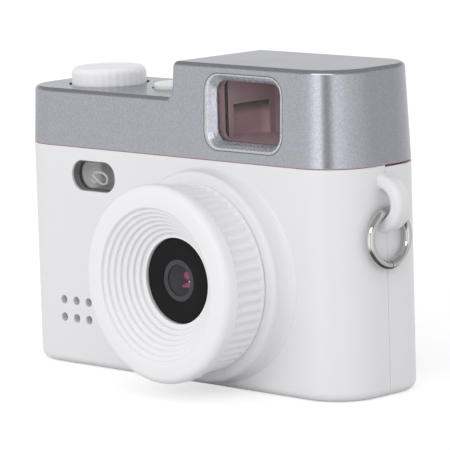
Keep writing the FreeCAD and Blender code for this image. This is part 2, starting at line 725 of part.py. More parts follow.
def eye_opening():
    """Sloping opening behind the eyepiece pane."""
    wide, high = EYE_WIDTH + 2 * EYE_BEVEL, EYE_HEIGHT + 2 * EYE_BEVEL
    outer = front_wire(FINDER_X, EYE_Z, wide, high, EYE_ROUND + EYE_BEVEL, REAR_Y)
    inner = front_wire(FINDER_X, EYE_Z, EYE_WIDTH, EYE_HEIGHT, EYE_ROUND, EYE_PANE_Y - 0.01)
    opening = Part.makeLoft([inner, outer], True, True)
    through = (EYE_PANE_Y - 6, EYE_PANE_Y)
    return opening.fuse(front_prism(FINDER_X, EYE_Z, EYE_WIDTH, EYE_HEIGHT, EYE_ROUND, through))


def pane_seat(gap):
    """Space of the front pane, grown by a gap at its edge."""
    width = PANE_WIDTH + 2 * PANE_MARGIN + 2 * gap
    height = PANE_HEIGHT + 2 * PANE_MARGIN + 2 * gap
    back = PANE_Y + PANE + (1 if gap else 0)
    return front_prism(FINDER_X, FINDER_Z, width, height, FINDER_ROUND, (PANE_Y, back))


def eye_seat(gap):
    """Space of the eyepiece pane, grown by a gap at its edge."""
    width = EYE_WIDTH + 2 * PANE_MARGIN + 2 * gap
    height = EYE_HEIGHT + 2 * PANE_MARGIN + 2 * gap
    front = EYE_PANE_Y - PANE - (1 if gap else 0)
    return front_prism(FINDER_X, EYE_Z, width, height, EYE_ROUND, (front, EYE_PANE_Y))


def top_board_points():
    middle = (DIAL_X + SHUTTER_X) / 2 + 0.7
    return [(middle, TOP_BOARD_Y[0] + 2.1), (middle, TOP_BOARD_Y[1] - 1.8)]


def viewfinder_tunnel():
    """Block between the two panes, with a slit and a low recess in its left wall."""
    left, right = FINDER_X - PANE_WIDTH / 2, FINDER_X + PANE_WIDTH / 2
    low, high = FINDER_Z - PANE_HEIGHT / 2, FINDER_Z + PANE_HEIGHT / 2
    front, back = PANE_Y + PANE, EYE_PANE_Y - PANE
    wall = TUNNEL_WALL
    end = front + TUNNEL_LENGTH
    box = block((left - RECESS_DEPTH - wall, TUNNEL_RIGHT), (front, back), (low - wall, high + wall))
    corner = FINDER_ROUND - FINDER_BEVEL
    slit_y = (front + SLIT_START, front + SLIT_START + SLIT_WIDTH)
    recess_y = (front + RECESS_START, front + RECESS_END)
    cuts = [
        front_prism(FINDER_X, FINDER_Z, PANE_WIDTH, PANE_HEIGHT, corner, (front - 1, slit_y[0] + 0.1)),
        block((left, right), (slit_y[0], end), (low, high)),
        block((left - SLIT_DEPTH, left + 1), slit_y, (low, high)),
        block((left - RECESS_DEPTH, left + 1), recess_y, (low, low + RECESS_HEIGHT)),
        front_prism(FINDER_X, EYE_Z, EYE_WIDTH, EYE_HEIGHT, EYE_ROUND, (end - 1, back + 1)),
    ]
    return as_solid(box.cut(cuts))


def mode_dial():
    top = DECK_Z + DIAL_RISE
    low = DIAL_FLOOR + SLIDE_GAP
    knob = turned_z(
        [
            (SHAFT_R, low, 0),
            (DIAL_R, low, 0.3),
            (DIAL_R - DIAL_LEAN, top, DIAL_ROUND),
            (0, top, 0),
            (0, top - 1.4, 0),
            (SHAFT_R, top - 1.4, 0),
        ],
        DIAL_X,
        DIAL_Y,
    )
    cuts = []
    reach = DIAL_R + DIAL_CUT_R - DIAL_RIB_DEPTH
    high = top - DIAL_ROUND * 0.75
    for i in range(DIAL_RIBS):
        angle = 2 * math.pi * i / DIAL_RIBS
        x = DIAL_X + reach * math.cos(angle)
        y = DIAL_Y + reach * math.sin(angle)
        cuts.append(rod_z(DIAL_CUT_R, x, y, (low + 0.5, high)))
        cuts.append(Part.makeSphere(DIAL_CUT_R, Vector(x, y, high)))
    return as_solid(knob.cut(cuts))


def lens_ring():
    """Ribbed ring with its stepped funnel, in one moulding."""
    points = [
        (SPIGOT_R + RING_GAP, BOSS_HEIGHT + RING_GAP, 0),
        (BAND_R, BOSS_HEIGHT + RING_GAP, 0.15),
        (BAND_R, BAND_FRONT, 0.6),
        (RIM_R, BAND_FRONT + 0.75, 0.6),
        (RIM_R, RING_HEIGHT, RIM_ROUND),
        (FUNNEL_R, RING_HEIGHT, 0.35),
    ]
    forward = RING_HEIGHT
    radius = FUNNEL_R
    for i in range(FUNNEL_STEPS):
        forward -= STEP_RISE
        points.append((radius, forward, STEP_FOOT))
        radius -= STEP_RUN
        edge = STEP_EDGE if i < FUNNEL_STEPS - 1 else 0
        if edge:
            points.append((radius, forward, edge))
    bore = WINDOW_R + RING_GAP
    points.append((bore, forward, 0.1))
    back = forward - WEB
    points.append((bore, back, 0))
    inner = bore + 1.7
    points.append((inner, back, 0))
    skirt = SPIGOT_R + RING_GAP
    points.append((skirt, back + (skirt - inner) * STEP_RISE / STEP_RUN, 0))
    bead_high = BOSS_HEIGHT + SPIGOT_HEIGHT - 0.1
    groove = skirt + BEAD + 0.1
    points.append((skirt, bead_high + 0.2, 0))
    points.append((groove, bead_high + 0.2, 0))
    points.append((groove, bead_high - BEAD_WIDTH - 0.2, 0))
    points.append((skirt, bead_high - BEAD_WIDTH - 0.2, 0))
    ring = lens_turned(points)
    stop = [
        (SPIGOT_R + RING_GAP + 0.3, BOSS_HEIGHT - STOP_DEPTH, 0),
        (STOP_OUTER, BOSS_HEIGHT - STOP_DEPTH, 0),
        (STOP_OUTER, BOSS_HEIGHT + 0.5, 0),
        (SPIGOT_R + RING_GAP + 0.3, BOSS_HEIGHT + 0.5, 0),
    ]
    ring = ring.fuse(lens_turned(stop, STOP_ANGLE, STOP_START))
    pin = rod_y(PIN_R, LENS_X, LENS_Z + PIN_REACH, (FRONT_Y - back - 1.0, FRONT_Y - PIN_END))
    ring = ring.fuse(pin)
    reach = BAND_R + RIB_CUT_R - RIB_DEPTH
    span = (FRONT_Y - RIB_END + RIB_CUT_R, FRONT_Y - RIB_START - RIB_CUT_R)
    groove_cut = rod_y(RIB_CUT_R, LENS_X + reach, LENS_Z, span)
    ends = [Part.makeSphere(RIB_CUT_R, Vector(LENS_X + reach, y, LENS_Z)) for y in span]
    cuts = []
    for i in range(RIB_COUNT):
        angle = 360.0 * (i + 0.5) / RIB_COUNT
        for tool in [groove_cut] + ends:
            cuts.append(around_lens(tool, angle))
    return as_solid(ring.cut(cuts))


def lens_window():
    """Black ring of the lens window, open at its clear centre."""
    return lens_turned(
        [
            (CLEAR_R, WINDOW_BACK, 0),
            (WINDOW_R, WINDOW_BACK, 0),
            (WINDOW_R, WINDOW_FACE, WINDOW_ROUND),
            (CLEAR_R, WINDOW_FACE, 0),
        ]
    )


def lens_glass():
    """Clear centre of the lens window."""
    return rod_y(CLEAR_R - GLASS_GAP, LENS_X, LENS_Z, (FRONT_Y - WINDOW_FACE, FRONT_Y - WINDOW_BACK))


def lens_holder():
    """Fixed tube that carries the window and the focusing cell."""
    thread = CELL_R + SHAFT_GAP
    body = lens_turned(
        [
            (thread, -WALL - HOLDER_FLANGE, 0),
            (HOLDER_FLANGE_R, -WALL - HOLDER_FLANGE, 0),
            (HOLDER_FLANGE_R, -WALL, 0),
            (HOLDER_R, -WALL, 0),
            (HOLDER_R, HOLDER_STEP, 0.4),
            (WINDOW_R - 0.1, HOLDER_STEP, 0),
            (WINDOW_R - 0.1, WINDOW_BACK, 0),
            (thread, WINDOW_BACK, 0),
        ]
    )
    clear = 2.0
    slot_points = [
        (0, ARM_BACK - SLIDE_GAP, 0),
        (HOLDER_R + 1, ARM_BACK - SLIDE_GAP, 0),
        (HOLDER_R + 1, WINDOW_BACK + 1, 0),
        (0, WINDOW_BACK + 1, 0),
    ]
    half = math.degrees(ARM_WIDTH / 2 / CELL_R) + clear
    cuts = [lens_turned(slot_points, RING_TURN + 2 * half, 90 - half)]
    for x, z in holder_points():
        cuts.append(rod_y(SMALL_SCREW_R + SLIDE_GAP, x, z, (INNER_FRONT - 1, INNER_FRONT + 3)))
    return as_solid(body.cut(cuts))


def lens_cell():
    """Threaded cell that holds the lenses, with the fork that the ring's pin turns."""
    cell = lens_turned(
        [
            (2.3, CELL_END, 0),
            (CELL_R, CELL_END, 0),
            (CELL_R, CELL_NOSE - 2.2, 0.3),
            (CLEAR_R + 0.9, CELL_NOSE - 0.5, 0.3),
            (CLEAR_R + 0.6, CELL_NOSE, 0.2),
            (2.75, CELL_NOSE, 0.1),
            (2.75, CELL_NOSE - 1.6, 0),
            (2.3, CELL_NOSE - 1.6, 0),
        ]
    )
    arm_y = (FRONT_Y - ARM_FRONT, FRONT_Y - ARM_BACK)
    arm_z = (LENS_Z + CELL_R - 0.6, LENS_Z + PIN_REACH + 0.4)
    arm = block((LENS_X - ARM_WIDTH / 2, LENS_X + ARM_WIDTH / 2), arm_y, arm_z)
    arm = arm.cut(rod_y(PIN_R + SHAFT_GAP, LENS_X, LENS_Z + PIN_REACH, (arm_y[0] - 1, arm_y[1] + 1)))
    fork = (LENS_X - PIN_R - SHAFT_GAP, LENS_X + PIN_R + SHAFT_GAP)
    arm = arm.cut(block(fork, (-BIG, BIG), (LENS_Z + PIN_REACH, BIG)))
    return as_solid(cell.fuse(arm))


def lens_element(radius, thickness, bulge, forward):
    """Lens with a domed front, its edge at a distance in front of the body."""
    front = forward + bulge
    back = forward - thickness
    wire = [
        Part.LineSegment(Vector(0, back, 0), Vector(radius, back, 0)).toShape(),
        Part.LineSegment(Vector(radius, back, 0), Vector(radius, forward, 0)).toShape(),
    ]
    sag = radius * radius / (2 * bulge) + bulge / 2
    half = math.asin(radius / sag) / 2
    middle = Vector(sag * math.sin(half), front - sag * (1 - math.cos(half)), 0)
    wire.append(Part.Arc(Vector(radius, forward, 0), middle, Vector(0, front, 0)).toShape())
    wire.append(Part.LineSegment(Vector(0, front, 0), Vector(0, back, 0)).toShape())
    face = Part.Face(Part.Wire(wire))
    lens = as_solid(face.revolve(Vector(0, 0, 0), Vector(0, 1, 0), 360))
    lens.rotate(Vector(0, 0, 0), Vector(0, 0, 1), 180)
    lens.translate(Vector(LENS_X, FRONT_Y, LENS_Z))
    return lens


def bent_strip(points, radius, thickness, place, width):
    """Flexible strip along a bent line; place(u, v) and width give its space."""
    left, right = [], []
    count = len(points)
    for i, (u, v) in enumerate(points):
        here = Vector(u, v, 0)
        normals = []
        if i > 0:
            d = (here - Vector(*points[i - 1], 0)).normalize()
            normals.append(Vector(-d.y, d.x, 0))
        if i < count - 1:
            d = (Vector(*points[i + 1], 0) - here).normalize()
            normals.append(Vector(-d.y, d.x, 0))
        if len(normals) == 2:
            total = normals[0] + normals[1]
            shift = total * (thickness / 2 / (1 + normals[0].dot(normals[1])))
            turn = normals[0].cross(normals[1]).z
            inner = radius - thickness / 2
            outer = radius + thickness / 2
            left.append((here + shift, inner if turn > 0 else outer))
            right.append((here - shift, outer if turn > 0 else inner))
        else:
            left.append((here + normals[0] * (thickness / 2), 0))
            right.append((here - normals[0] * (thickness / 2), 0))
    corners = [(p.x, p.y, r) for p, r in left] + [(p.x, p.y, r) for p, r in reversed(right)]
    return as_solid(Part.Face(outline(corners, place)).extrude(width))


def main_board():
    """Main board, with its corners cut away round the case posts."""
    through = (MAIN_BOARD_Y - 1, BOARD_BACK + 1)
    width, height = (MAIN_BOARD_LEFT, MAIN_BOARD_RIGHT), (MAIN_BOARD_LOW, MAIN_BOARD_HIGH)
    board = block(width, (MAIN_BOARD_Y, BOARD_BACK), height)
    clear = POST_R + PART_GAP
    cuts = []
    for x, z in case_points():
        across = (x - clear, BIG) if x > 0 else (-BIG, x + clear)
        upward = (z - clear, BIG) if z > SEAM_Z / 2 else (-BIG, z + clear)
        cuts.append(block(across, through, upward))
    for x, z in board_posts():
        cuts.append(rod_y(SMALL_SCREW_R + SLIDE_GAP, x, z, through))
    return as_solid(board.cut(cuts))


def usb_socket():
    x = (-WIDTH / 2 + 0.4, -WIDTH / 2 + 0.4 + USB_DEPTH)
    shell = side_prism(USB_Y, USB_Z, USB_THICKNESS, USB_LENGTH, USB_THICKNESS / 2 - 0.01, x)
    thin, long = USB_THICKNESS - 2 * USB_WALL, USB_LENGTH - 2 * USB_WALL
    inner = side_prism(USB_Y, USB_Z, thin, long, thin / 2 - 0.01, (x[0] - 1, x[1] - 1))
    tongue = side_prism(USB_Y, USB_Z, 0.7, 6.6, 0.2, (x[0] + 0.8, x[1] - 0.8))
    return as_solid(shell.cut(inner).fuse(tongue))


def card_socket():
    x = (-WIDTH / 2 + WALL + 0.9, -WIDTH / 2 + WALL + 0.9 + CARD_DEPTH)
    half = CARD_WIDTH / 2
    shell = block(x, (MAIN_BOARD_Y - CARD_THICKNESS, MAIN_BOARD_Y), (CARD_Z - half, CARD_Z + half))
    slot = side_prism(CARD_Y, CARD_Z, CARD_SLOT_THICKNESS, CARD_SLOT, 0.2, (x[0] - 1, x[1] - 1))
    return as_solid(shell.cut(slot))


def shutter_button():
    top = DECK_Z + SHUTTER_RISE
    return turned_z(
        [
            (0, STEM_LOW, 0),
            (SHUTTER_STEM_R, STEM_LOW, 0),
            (SHUTTER_STEM_R, SPRING_HIGH, 0),
            (SHUTTER_R + 0.7, SPRING_HIGH, 0),
            (SHUTTER_R + 0.7, FLANGE_TOP, 0),
            (SHUTTER_R, FLANGE_TOP, 0),
            (SHUTTER_R, top, SHUTTER_ROUND),
            (0, top, 0),
        ],
        SHUTTER_X,
        SHUTTER_Y,
    )


def shutter_plunger():
    """Plunger of the shutter switch, under the button's stem."""
    return rod_z(PLUNGER_R, SHUTTER_X, SHUTTER_Y, (SWITCH_TOP - 0.9, STEM_LOW))


def shutter_switch():
    half = SWITCH / 2
    x = (SHUTTER_X - half, SHUTTER_X + half)
    y = (SHUTTER_Y - half, SHUTTER_Y + half)
    body = block(x, y, (BOARD_TOP, SWITCH_TOP))
    floor = SWITCH_TOP - 0.9 - SHUTTER_TRAVEL - 0.1
    bore = rod_z(PLUNGER_R + SHAFT_GAP, SHUTTER_X, SHUTTER_Y, (floor, SWITCH_TOP + 1))
    return as_solid(body.cut(bore))


def shutter_spring():
    """Return spring round the switch, between the board and the button's flange."""
    low = BOARD_TOP + SPRING_WIRE / 2
    high = SPRING_HIGH - SPRING_WIRE / 2
    pitch = (high - low) / SPRING_TURNS
    centre = SPRING_R - SPRING_WIRE / 2
    path = Part.makeHelix(pitch, high - low, centre)
    circle = Part.makeCircle(SPRING_WIRE / 2, Vector(centre, 0, 0), Vector(0, 1, 0))
    spring = Part.Wire(path).makePipeShell([Part.Wire([circle])], True, True)
    spring.translate(Vector(SHUTTER_X, SHUTTER_Y, low))
    return as_solid(spring)


def rear_button(x, z):
    """Round cap with an inner flange and a stem that stops short of its switch."""
    flange_out = INNER_REAR - SHAFT_GAP
    flange_in = flange_out - BUTTON_FLANGE
    stem_end = BOARD_BACK + TACT_HEIGHT + TACT_PLUNGER + BUTTON_TRAVEL + SHAFT_GAP
    face = REAR_Y + BUTTON_RISE
    return turned_y(
        [
            (0, stem_end, 0),
            (1.0, stem_end, 0),
            (1.0, flange_in, 0),
            (BUTTON_R + BUTTON_LIP, flange_in, 0),
            (BUTTON_R + BUTTON_LIP, flange_out, 0),
            (BUTTON_R, flange_out, 0),
            (BUTTON_R, face, BUTTON_ROUND),
            (0, face, 0),
        ],
        x,
        z,
    )


def rear_switches():
    face = BOARD_BACK + TACT_HEIGHT
    solids = []
    for x, z in pad_points().values():
        body = centred(x, z, TACT, TACT, (BOARD_BACK, face))
        cap = rod_y(TACT_PLUNGER_R, x, z, (face, face + TACT_PLUNGER))
        solids.append(as_solid(body.fuse(cap)))
    return Part.makeCompound(solids)


def strap_ring():
    """Round wire ring with a fine butt joint at its lowest point."""
    centre_z = STRAP_PIVOT_Z - STRAP_RING_R
    torus = Part.makeTorus(STRAP_RING_R, STRAP_WIRE_R, Vector(STRAP_X, LUG_Y, centre_z), Vector(1, 0, 0))
    joint = (LUG_Y - STRAP_SPLIT / 2, LUG_Y + STRAP_SPLIT / 2)
    split = block((STRAP_X - 2, STRAP_X + 2), joint, (centre_z - STRAP_RING_R - 2, centre_z))
    return as_solid(torus.cut(split))


def flash_window():
    front = FRONT_Y + FLASH_SINK
    width, height = FLASH_WIDTH - 2 * SEAT_GAP, FLASH_HEIGHT - 2 * SEAT_GAP
    lens = front_prism(FLASH_X, FLASH_Z, width, height, height / 2, (front, INNER_FRONT))
    rim = [e for e in lens.Edges if e.BoundBox.YMax < front + 1e-6]
    lens = lens.makeFillet(0.25, rim)
    wide, high = FLASH_WIDTH + 2 * FLASH_FLANGE, FLASH_HEIGHT + 2 * FLASH_FLANGE
    flange = front_prism(FLASH_X, FLASH_Z, wide, high, high / 2, (INNER_FRONT, INNER_FRONT + 0.5))
    return as_solid(lens.fuse(flange))


def flash_reflector():
    y = (INNER_FRONT + 0.5, INNER_FRONT + 3.0)
    round_end = FLASH_HEIGHT / 2
    body = front_prism(FLASH_X, FLASH_Z, FLASH_WIDTH, FLASH_HEIGHT, round_end, y)
    mouth = front_wire(FLASH_X, FLASH_Z, FLASH_WIDTH - 1, FLASH_HEIGHT - 1, round_end - 0.5, y[0] - 0.01)
    throat = front_wire(FLASH_X, FLASH_Z, FLASH_WIDTH - 2.4, FLASH_HEIGHT - 2, round_end - 1, y[1] + 0.01)
    return as_solid(body.cut(Part.makeLoft([mouth, throat], True, True)))


def group(solids):
    return Part.makeCompound([as_solid(s) for s in solids])


def covers():
    return {
        "front_cover": front_cover(),
        "rear_cover": rear_cover(),
        "top_cover": top_cover(),
        "viewfinder_window": pane_seat(0),
        "viewfinder_eyepiece": eye_seat(0),
        "viewfinder_tunnel": viewfinder_tunnel(),
        "strap_ring": strap_ring(),
    }


def camera_module():
    """Ring, window, cell and lenses, with the sensor behind them and its flexible circuit."""
    flange_back = INNER_FRONT + HOLDER_FLANGE
    spacer = 1.6
    sensor_y = flange_back + spacer
    side = SENSOR_BOARD
    housing = centred(LENS_X, LENS_Z, side, side, (flange_back, sensor_y))
    housing = housing.cut(rod_y(CELL_R + 0.4, LENS_X, LENS_Z, (flange_back - 1, sensor_y + 1)))
    flex_y = sensor_y + THIN_BOARD + FLEX / 2
    board_side = MAIN_BOARD_Y - FLEX / 2
    reach = LENS_X + SENSOR_BOARD / 2 + 4.0
    strip = [(LENS_X + 3.0, flex_y), (reach, flex_y), (reach, board_side), (reach + 5.0, board_side)]
    plug_y = (MAIN_BOARD_Y - FLEX - 1.0, MAIN_BOARD_Y - FLEX)
    return {
        "lens_ring": lens_ring(),
        "lens_window": lens_window(),
        "lens_glass": lens_glass(),
        "lens_holder": lens_holder(),
        "lens_cell": lens_cell(),
        "front_lens": lens_element(2.75, 1.3, 0.25, CELL_NOSE - 0.3),
        "middle_lens": lens_element(2.3, 1.2, 0.5, CELL_NOSE - 2.6),
        "rear_lens": lens_element(2.3, 1.0, 0.6, -1.2),
        "sensor_housing": as_solid(housing),
        "sensor_board": centred(LENS_X, LENS_Z, side, side, (sensor_y, sensor_y + THIN_BOARD)),
        "image_sensor": centred(LENS_X, LENS_Z, 7.0, 6.0, (sensor_y - 0.7, sensor_y)),
        "infrared_filter": centred(LENS_X, LENS_Z, 6.4, 5.4, (sensor_y - 1.0, sensor_y - 0.7)),
        "camera_flex": bent_strip(
            strip, 0.9, FLEX, lambda p: Vector(p.x, p.y, LENS_Z - 3), Vector(0, 0, 6)
        ),
        "camera_connector": centred(reach + 4.4, LENS_Z, 3.0, 8.0, plug_y),
    }


def display():
    """Display, its window, and the flexible circuit that folds back to the main board."""
    back = INNER_REAR - LCD_THICKNESS
    window_y = (REAR_Y - COVER_THICKNESS, REAR_Y)
    gap = 2 * SEAT_GAP
    corner = COVER_ROUND - SEAT_GAP
    turn = (back - BOARD_BACK) / 2 - FLEX / 2
    low, high = BOARD_BACK + FLEX / 2, back - FLEX / 2
    fold = [(11.5, low), (4.4, low), (4.4, high), (9.5, high)]
    return {
        "lcd_module": centred(LCD_X, LCD_Z, LCD_WIDTH, LCD_HEIGHT, (back, INNER_REAR)),
        "lcd_window": front_prism(LCD_X, LCD_Z, COVER_WIDTH - gap, COVER_HEIGHT - gap, corner, window_y),
        "lcd_flex": bent_strip(
            fold, turn - 0.1, FLEX, lambda p: Vector(LCD_X - 6, p.y, p.x), Vector(12, 0, 0)
        ),
        "lcd_connector": centred(LCD_X, 13.0, 14.0, 3.0, (BOARD_BACK, BOARD_BACK + 1.0)),
    }


def electronics():
    """Main board with what it carries, and the battery taped to its front."""
    face = MAIN_BOARD_Y
    tape = (face - TAPE, face)
    battery = block(BATTERY_X, (tape[0] - BATTERY_THICKNESS, tape[0]), BATTERY_Z)
    upright = [e for e in battery.Edges if e.BoundBox.ZLength > 20]
    mic = [(0, face - 1.8, 0), (MIC_R, face - 1.8, 0.2), (MIC_R, face, 0), (0, face, 0)]
    chip = (face - 1.0, face)
    plug = (face - 2.6, face)
    top_flex_x = (SHUTTER_X - 5.0, SHUTTER_X + 2.3)
    top_flex_z = (MAIN_BOARD_HIGH - 3.5, TOP_BOARD_Z)
    return {
        "main_board": main_board(),
        "usb_socket": usb_socket(),
        "card_socket": card_socket(),
        "rear_switches": rear_switches(),
        "battery_tape": block(
            (BATTERY_X[0] + 3, BATTERY_X[1] - 3), tape, (BATTERY_Z[0] + 3, BATTERY_Z[1] - 3)
        ),
        "battery": battery.makeFillet(BATTERY_THICKNESS * 0.4, upright),
        "processor": centred(LENS_X + 10.1, MAIN_BOARD_HIGH - 8.5, 9.0, 9.0, chip),
        "memory_chip": centred(MAIN_BOARD_RIGHT - 8.6, MAIN_BOARD_LOW + 8.2, 6.0, 8.0, chip),
        "battery_connector": centred(BATTERY_X[1] + 4.0, MAIN_BOARD_HIGH - 3.5, 5.0, 3.0, plug),
        "microphone": turned_y(mic, PAD_X - 4.1, MAIN_BOARD_HIGH - 2.6),
        "top_flex": block(top_flex_x, (BOARD_BACK, BOARD_BACK + FLEX), top_flex_z),
    }


def top_controls():
    """Mode dial and shutter button with their board under the top cover."""
    board = block((TOP_BOARD_LEFT, TOP_BOARD_RIGHT), TOP_BOARD_Y, (TOP_BOARD_Z, BOARD_TOP))
    hole = (TOP_BOARD_Z - 1, BOARD_TOP + 1)
    holes = [rod_z(SMALL_SCREW_R + SLIDE_GAP, x, y, hole) for x, y in top_board_points()]
    half = ENCODER / 2
    encoder_z = (BOARD_TOP, BOARD_TOP + ENCODER_HEIGHT)
    encoder = block((DIAL_X - half, DIAL_X + half), (DIAL_Y - half, DIAL_Y + half), encoder_z)
    bore = rod_z(SHAFT_R + SHAFT_GAP, DIAL_X, DIAL_Y, (BOARD_TOP + 0.6, encoder_z[1] + 1))
    return {
        "mode_dial": mode_dial(),
        "dial_shaft": rod_z(SHAFT_R, DIAL_X, DIAL_Y, (BOARD_TOP + 0.7, DECK_Z + DIAL_RISE - 1.4)),
        "dial_encoder": as_solid(encoder.cut(bore)),
        "shutter_button": shutter_button(),
        "shutter_plunger": shutter_plunger(),
        "shutter_switch": shutter_switch(),
        "shutter_spring": shutter_spring(),
        "top_board": as_solid(board.cut(holes)),
    }


def sound_and_light():
    """Speaker behind its holes, and the lamp with its window."""
    face = INNER_FRONT + GASKET
    gasket = rod_y(SPEAKER_R, SPEAKER_X, SPEAKER_Z, (INNER_FRONT, face))
    hole = rod_y(SPEAKER_R - 1.2, SPEAKER_X, SPEAKER_Z, (INNER_FRONT - 1, face + 1))
    back = face + SPEAKER_HEIGHT
    speaker = [
        (0, face + 0.6, 0),
        (SPEAKER_R - 1.4, face + 0.2, 0),
        (SPEAKER_R - 1.2, face, 0),
        (SPEAKER_R, face, 0),
        (SPEAKER_R, back - 1.2, 0),
        (SPEAKER_R - 2.0, back, 0),
        (0, back, 0),
    ]
    lamp_y = INNER_FRONT + 3.0
    led_x = FLASH_X + FLASH_LED_X
    return {
        "speaker_gasket": as_solid(gasket.cut(hole)),
        "speaker": turned_y(speaker, SPEAKER_X, SPEAKER_Z),
        "flash_window": flash_window(),
        "flash_reflector": flash_reflector(),
        "flash_board": centred(FLASH_X, FLASH_Z - 0.4, 13.0, 6.0, (lamp_y, lamp_y + THIN_BOARD)),
        "flash_led": centred(led_x, FLASH_Z, FLASH_LED, FLASH_LED, (lamp_y - 0.7, lamp_y)),
    }


def screws():
    large = (SCREW_R, SCREW_HEAD_R, SCREW_HEAD)
    small = (SMALL_SCREW_R, SMALL_HEAD_R, SMALL_HEAD)
    case_seat = REAR_Y - HEAD_DEPTH
    flange_back = INNER_FRONT + HOLDER_FLANGE
    return {
        "case_screws": group(
            [screw_y(x, z, case_seat, PARTING_Y - 6, *large) for x, z in case_points()]
        ),
        "board_screws": group(
            [screw_y(x, z, MAIN_BOARD_Y, BOARD_BACK + 3.6, *small) for x, z in board_posts()]
        ),
        "holder_screws": group(
            [screw_y(x, z, flange_back, INNER_FRONT - 0.9, *small) for x, z in holder_points()]
        ),
        "top_board_screws": group(
            [screw_up(x, y, TOP_BOARD_Z, BOARD_TOP + 3.0, *small) for x, y in top_board_points()]
        ),
        "top_cover_screws": group(
            [screw_up(x, TOP_SCREW_Y, TAB_Z[0], TAB_Z[1] + 3.6, *small) for x in TOP_SCREW_X]
        ),
    }


def build():
    nodes = covers()
    for made in (camera_module, display, electronics, top_controls, sound_and_light, screws):
        nodes.update(made())
    for name, (x, z) in pad_points().items():
        nodes[name] = rear_button(x, z)
    return nodes


def write(nodes):
    os.makedirs("parts", exist_ok=True)
    for name, shape in nodes.items():
        if not shape.isValid() or shape.Volume <= 0:
            raise ValueError(name + " is not a valid solid")
        shape.exportStep(os.path.join("parts", name + ".step"))
        box = shape.BoundBox
        size = [round(v, 2) for v in (box.XLength, box.YLength, box.ZLength)]
        print(name, len(shape.Solids), round(shape.Volume, 1), size)


write(build())
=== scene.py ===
import math

import bmesh
import bpy
from bpy.props import FloatProperty, FloatVectorProperty, IntProperty, PointerProperty
from mathutils import Matrix, Vector


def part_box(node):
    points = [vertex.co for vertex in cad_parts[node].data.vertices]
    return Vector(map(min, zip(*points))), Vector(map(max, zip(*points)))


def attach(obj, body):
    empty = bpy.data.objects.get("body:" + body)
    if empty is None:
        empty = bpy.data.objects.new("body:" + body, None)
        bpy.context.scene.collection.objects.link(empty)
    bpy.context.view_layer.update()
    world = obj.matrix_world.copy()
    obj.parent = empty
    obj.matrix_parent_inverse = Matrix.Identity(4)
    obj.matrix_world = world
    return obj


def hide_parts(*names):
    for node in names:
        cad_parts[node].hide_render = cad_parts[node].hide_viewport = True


bl_info = {
    "name": "Compact Camera Looks",
    "version": (1, 0, 0),
    "blender": (4, 5, 0),
    "location": "View3D > Sidebar > Camera",
    "description": "Dresses a packed compact camera with detailed pieces, finishes, studio and viewpoint",
    "category": "Object",
}

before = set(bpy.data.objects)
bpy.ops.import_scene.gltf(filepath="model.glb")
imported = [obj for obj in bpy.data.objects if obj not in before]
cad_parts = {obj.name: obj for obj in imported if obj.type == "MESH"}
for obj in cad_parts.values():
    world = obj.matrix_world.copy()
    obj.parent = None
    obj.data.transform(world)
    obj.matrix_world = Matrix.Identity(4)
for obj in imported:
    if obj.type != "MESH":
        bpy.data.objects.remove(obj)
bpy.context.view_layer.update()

MM = 0.001
FORWARD = Vector((0, -1, 0))
UPWARD = Vector((0, 0, 1))

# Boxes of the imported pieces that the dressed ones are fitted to
RING_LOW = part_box("lens_ring")[0]
TOP_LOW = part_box("top_cover")[0]
EYE_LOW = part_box("viewfinder_eyepiece")[0]
WINDOW_LOW, WINDOW_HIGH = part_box("lens_window")
DIAL_LOW, DIAL_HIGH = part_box("mode_dial")
PANE_LOW, PANE_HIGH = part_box("viewfinder_window")
REFLECTOR_LOW, REFLECTOR_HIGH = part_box("flash_reflector")
LAMP_LOW, LAMP_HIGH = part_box("flash_window")
SCREEN_LOW, SCREEN_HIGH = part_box("lcd_window")
LENS = (WINDOW_LOW + WINDOW_HIGH) / 2
DIAL = (DIAL_LOW + DIAL_HIGH) / 2
PANE = (PANE_LOW + PANE_HIGH) / 2

# Silver paint: size of its flakes, its lower end, and how far the cover's front leans back per height
FLAKE = 0.00013
PAINT_LOW = 0.04005
TOP_LEAN = 0.0443

# Viewfinder's tunnel: right end of the slit, its deep end and the ledge over the recess, which bound the
# painted shade in the slit and under the ledge and the painted light on the recess wall
SLIT_EDGE = Vector((0.00998, -0.0068, 0.049))
LEDGE_SHADE = (0.0003, 0.0026)

# Viewfinder's frame in millimetres: half width, half height and depth of each loop, from the rim to the pane
BEZEL_LOOPS = (
    (9.20, 6.62, 0.01), (9.16, 6.58, -0.02), (8.72, 6.32, -0.02), (8.66, 6.26, 0.0),
    (8.54, 6.14, 0.06), (8.30, 5.90, 0.66), (8.20, 5.80, 0.72), (8.10, 5.70, 0.86),
    (7.80, 5.40, 1.5), (7.70, 5.30, 1.6), (7.65, 5.25, 1.72), (7.62, 5.22, 1.84),
)
JOINT_LOOPS = ((9.18, 6.60, -0.012), (9.32, 6.74, -0.012))
BEZEL_HALF = 9.2
BEZEL_CORNER = 3.2
BEZEL_DEPTH = 1.9
RIM_HALF = 9.0
RIM_SHIFT = Vector((0.2, 0.0, 0.08)) * MM

# Lens ring in millimetres: radii, and heights over the boss's foot
RING_BORE = 14.4
RING_BACK = 3.8
RING_HEIGHT = 14.0
BAND_HEIGHTS = (4.3, 4.6, 4.9, 7.0, 9.4)
BAND_FRONT = 10.4
GROOVE_START = (4.2, 4.9)
GROOVE_END = (10.3, 11.5)
RIM_RADIUS = 17.2
RIM_BACK = 11.15
RIM_ROUND = 2.3
MOUTH_RADIUS = 13.2
THROAT_RADIUS = 7.52
WEB = 1.6

# Faces to each rib or flute, and a rib's flank by the cosine of its turn
WAVE_PARTS = 8
RIB_FLANK = (-0.6, 0.4)

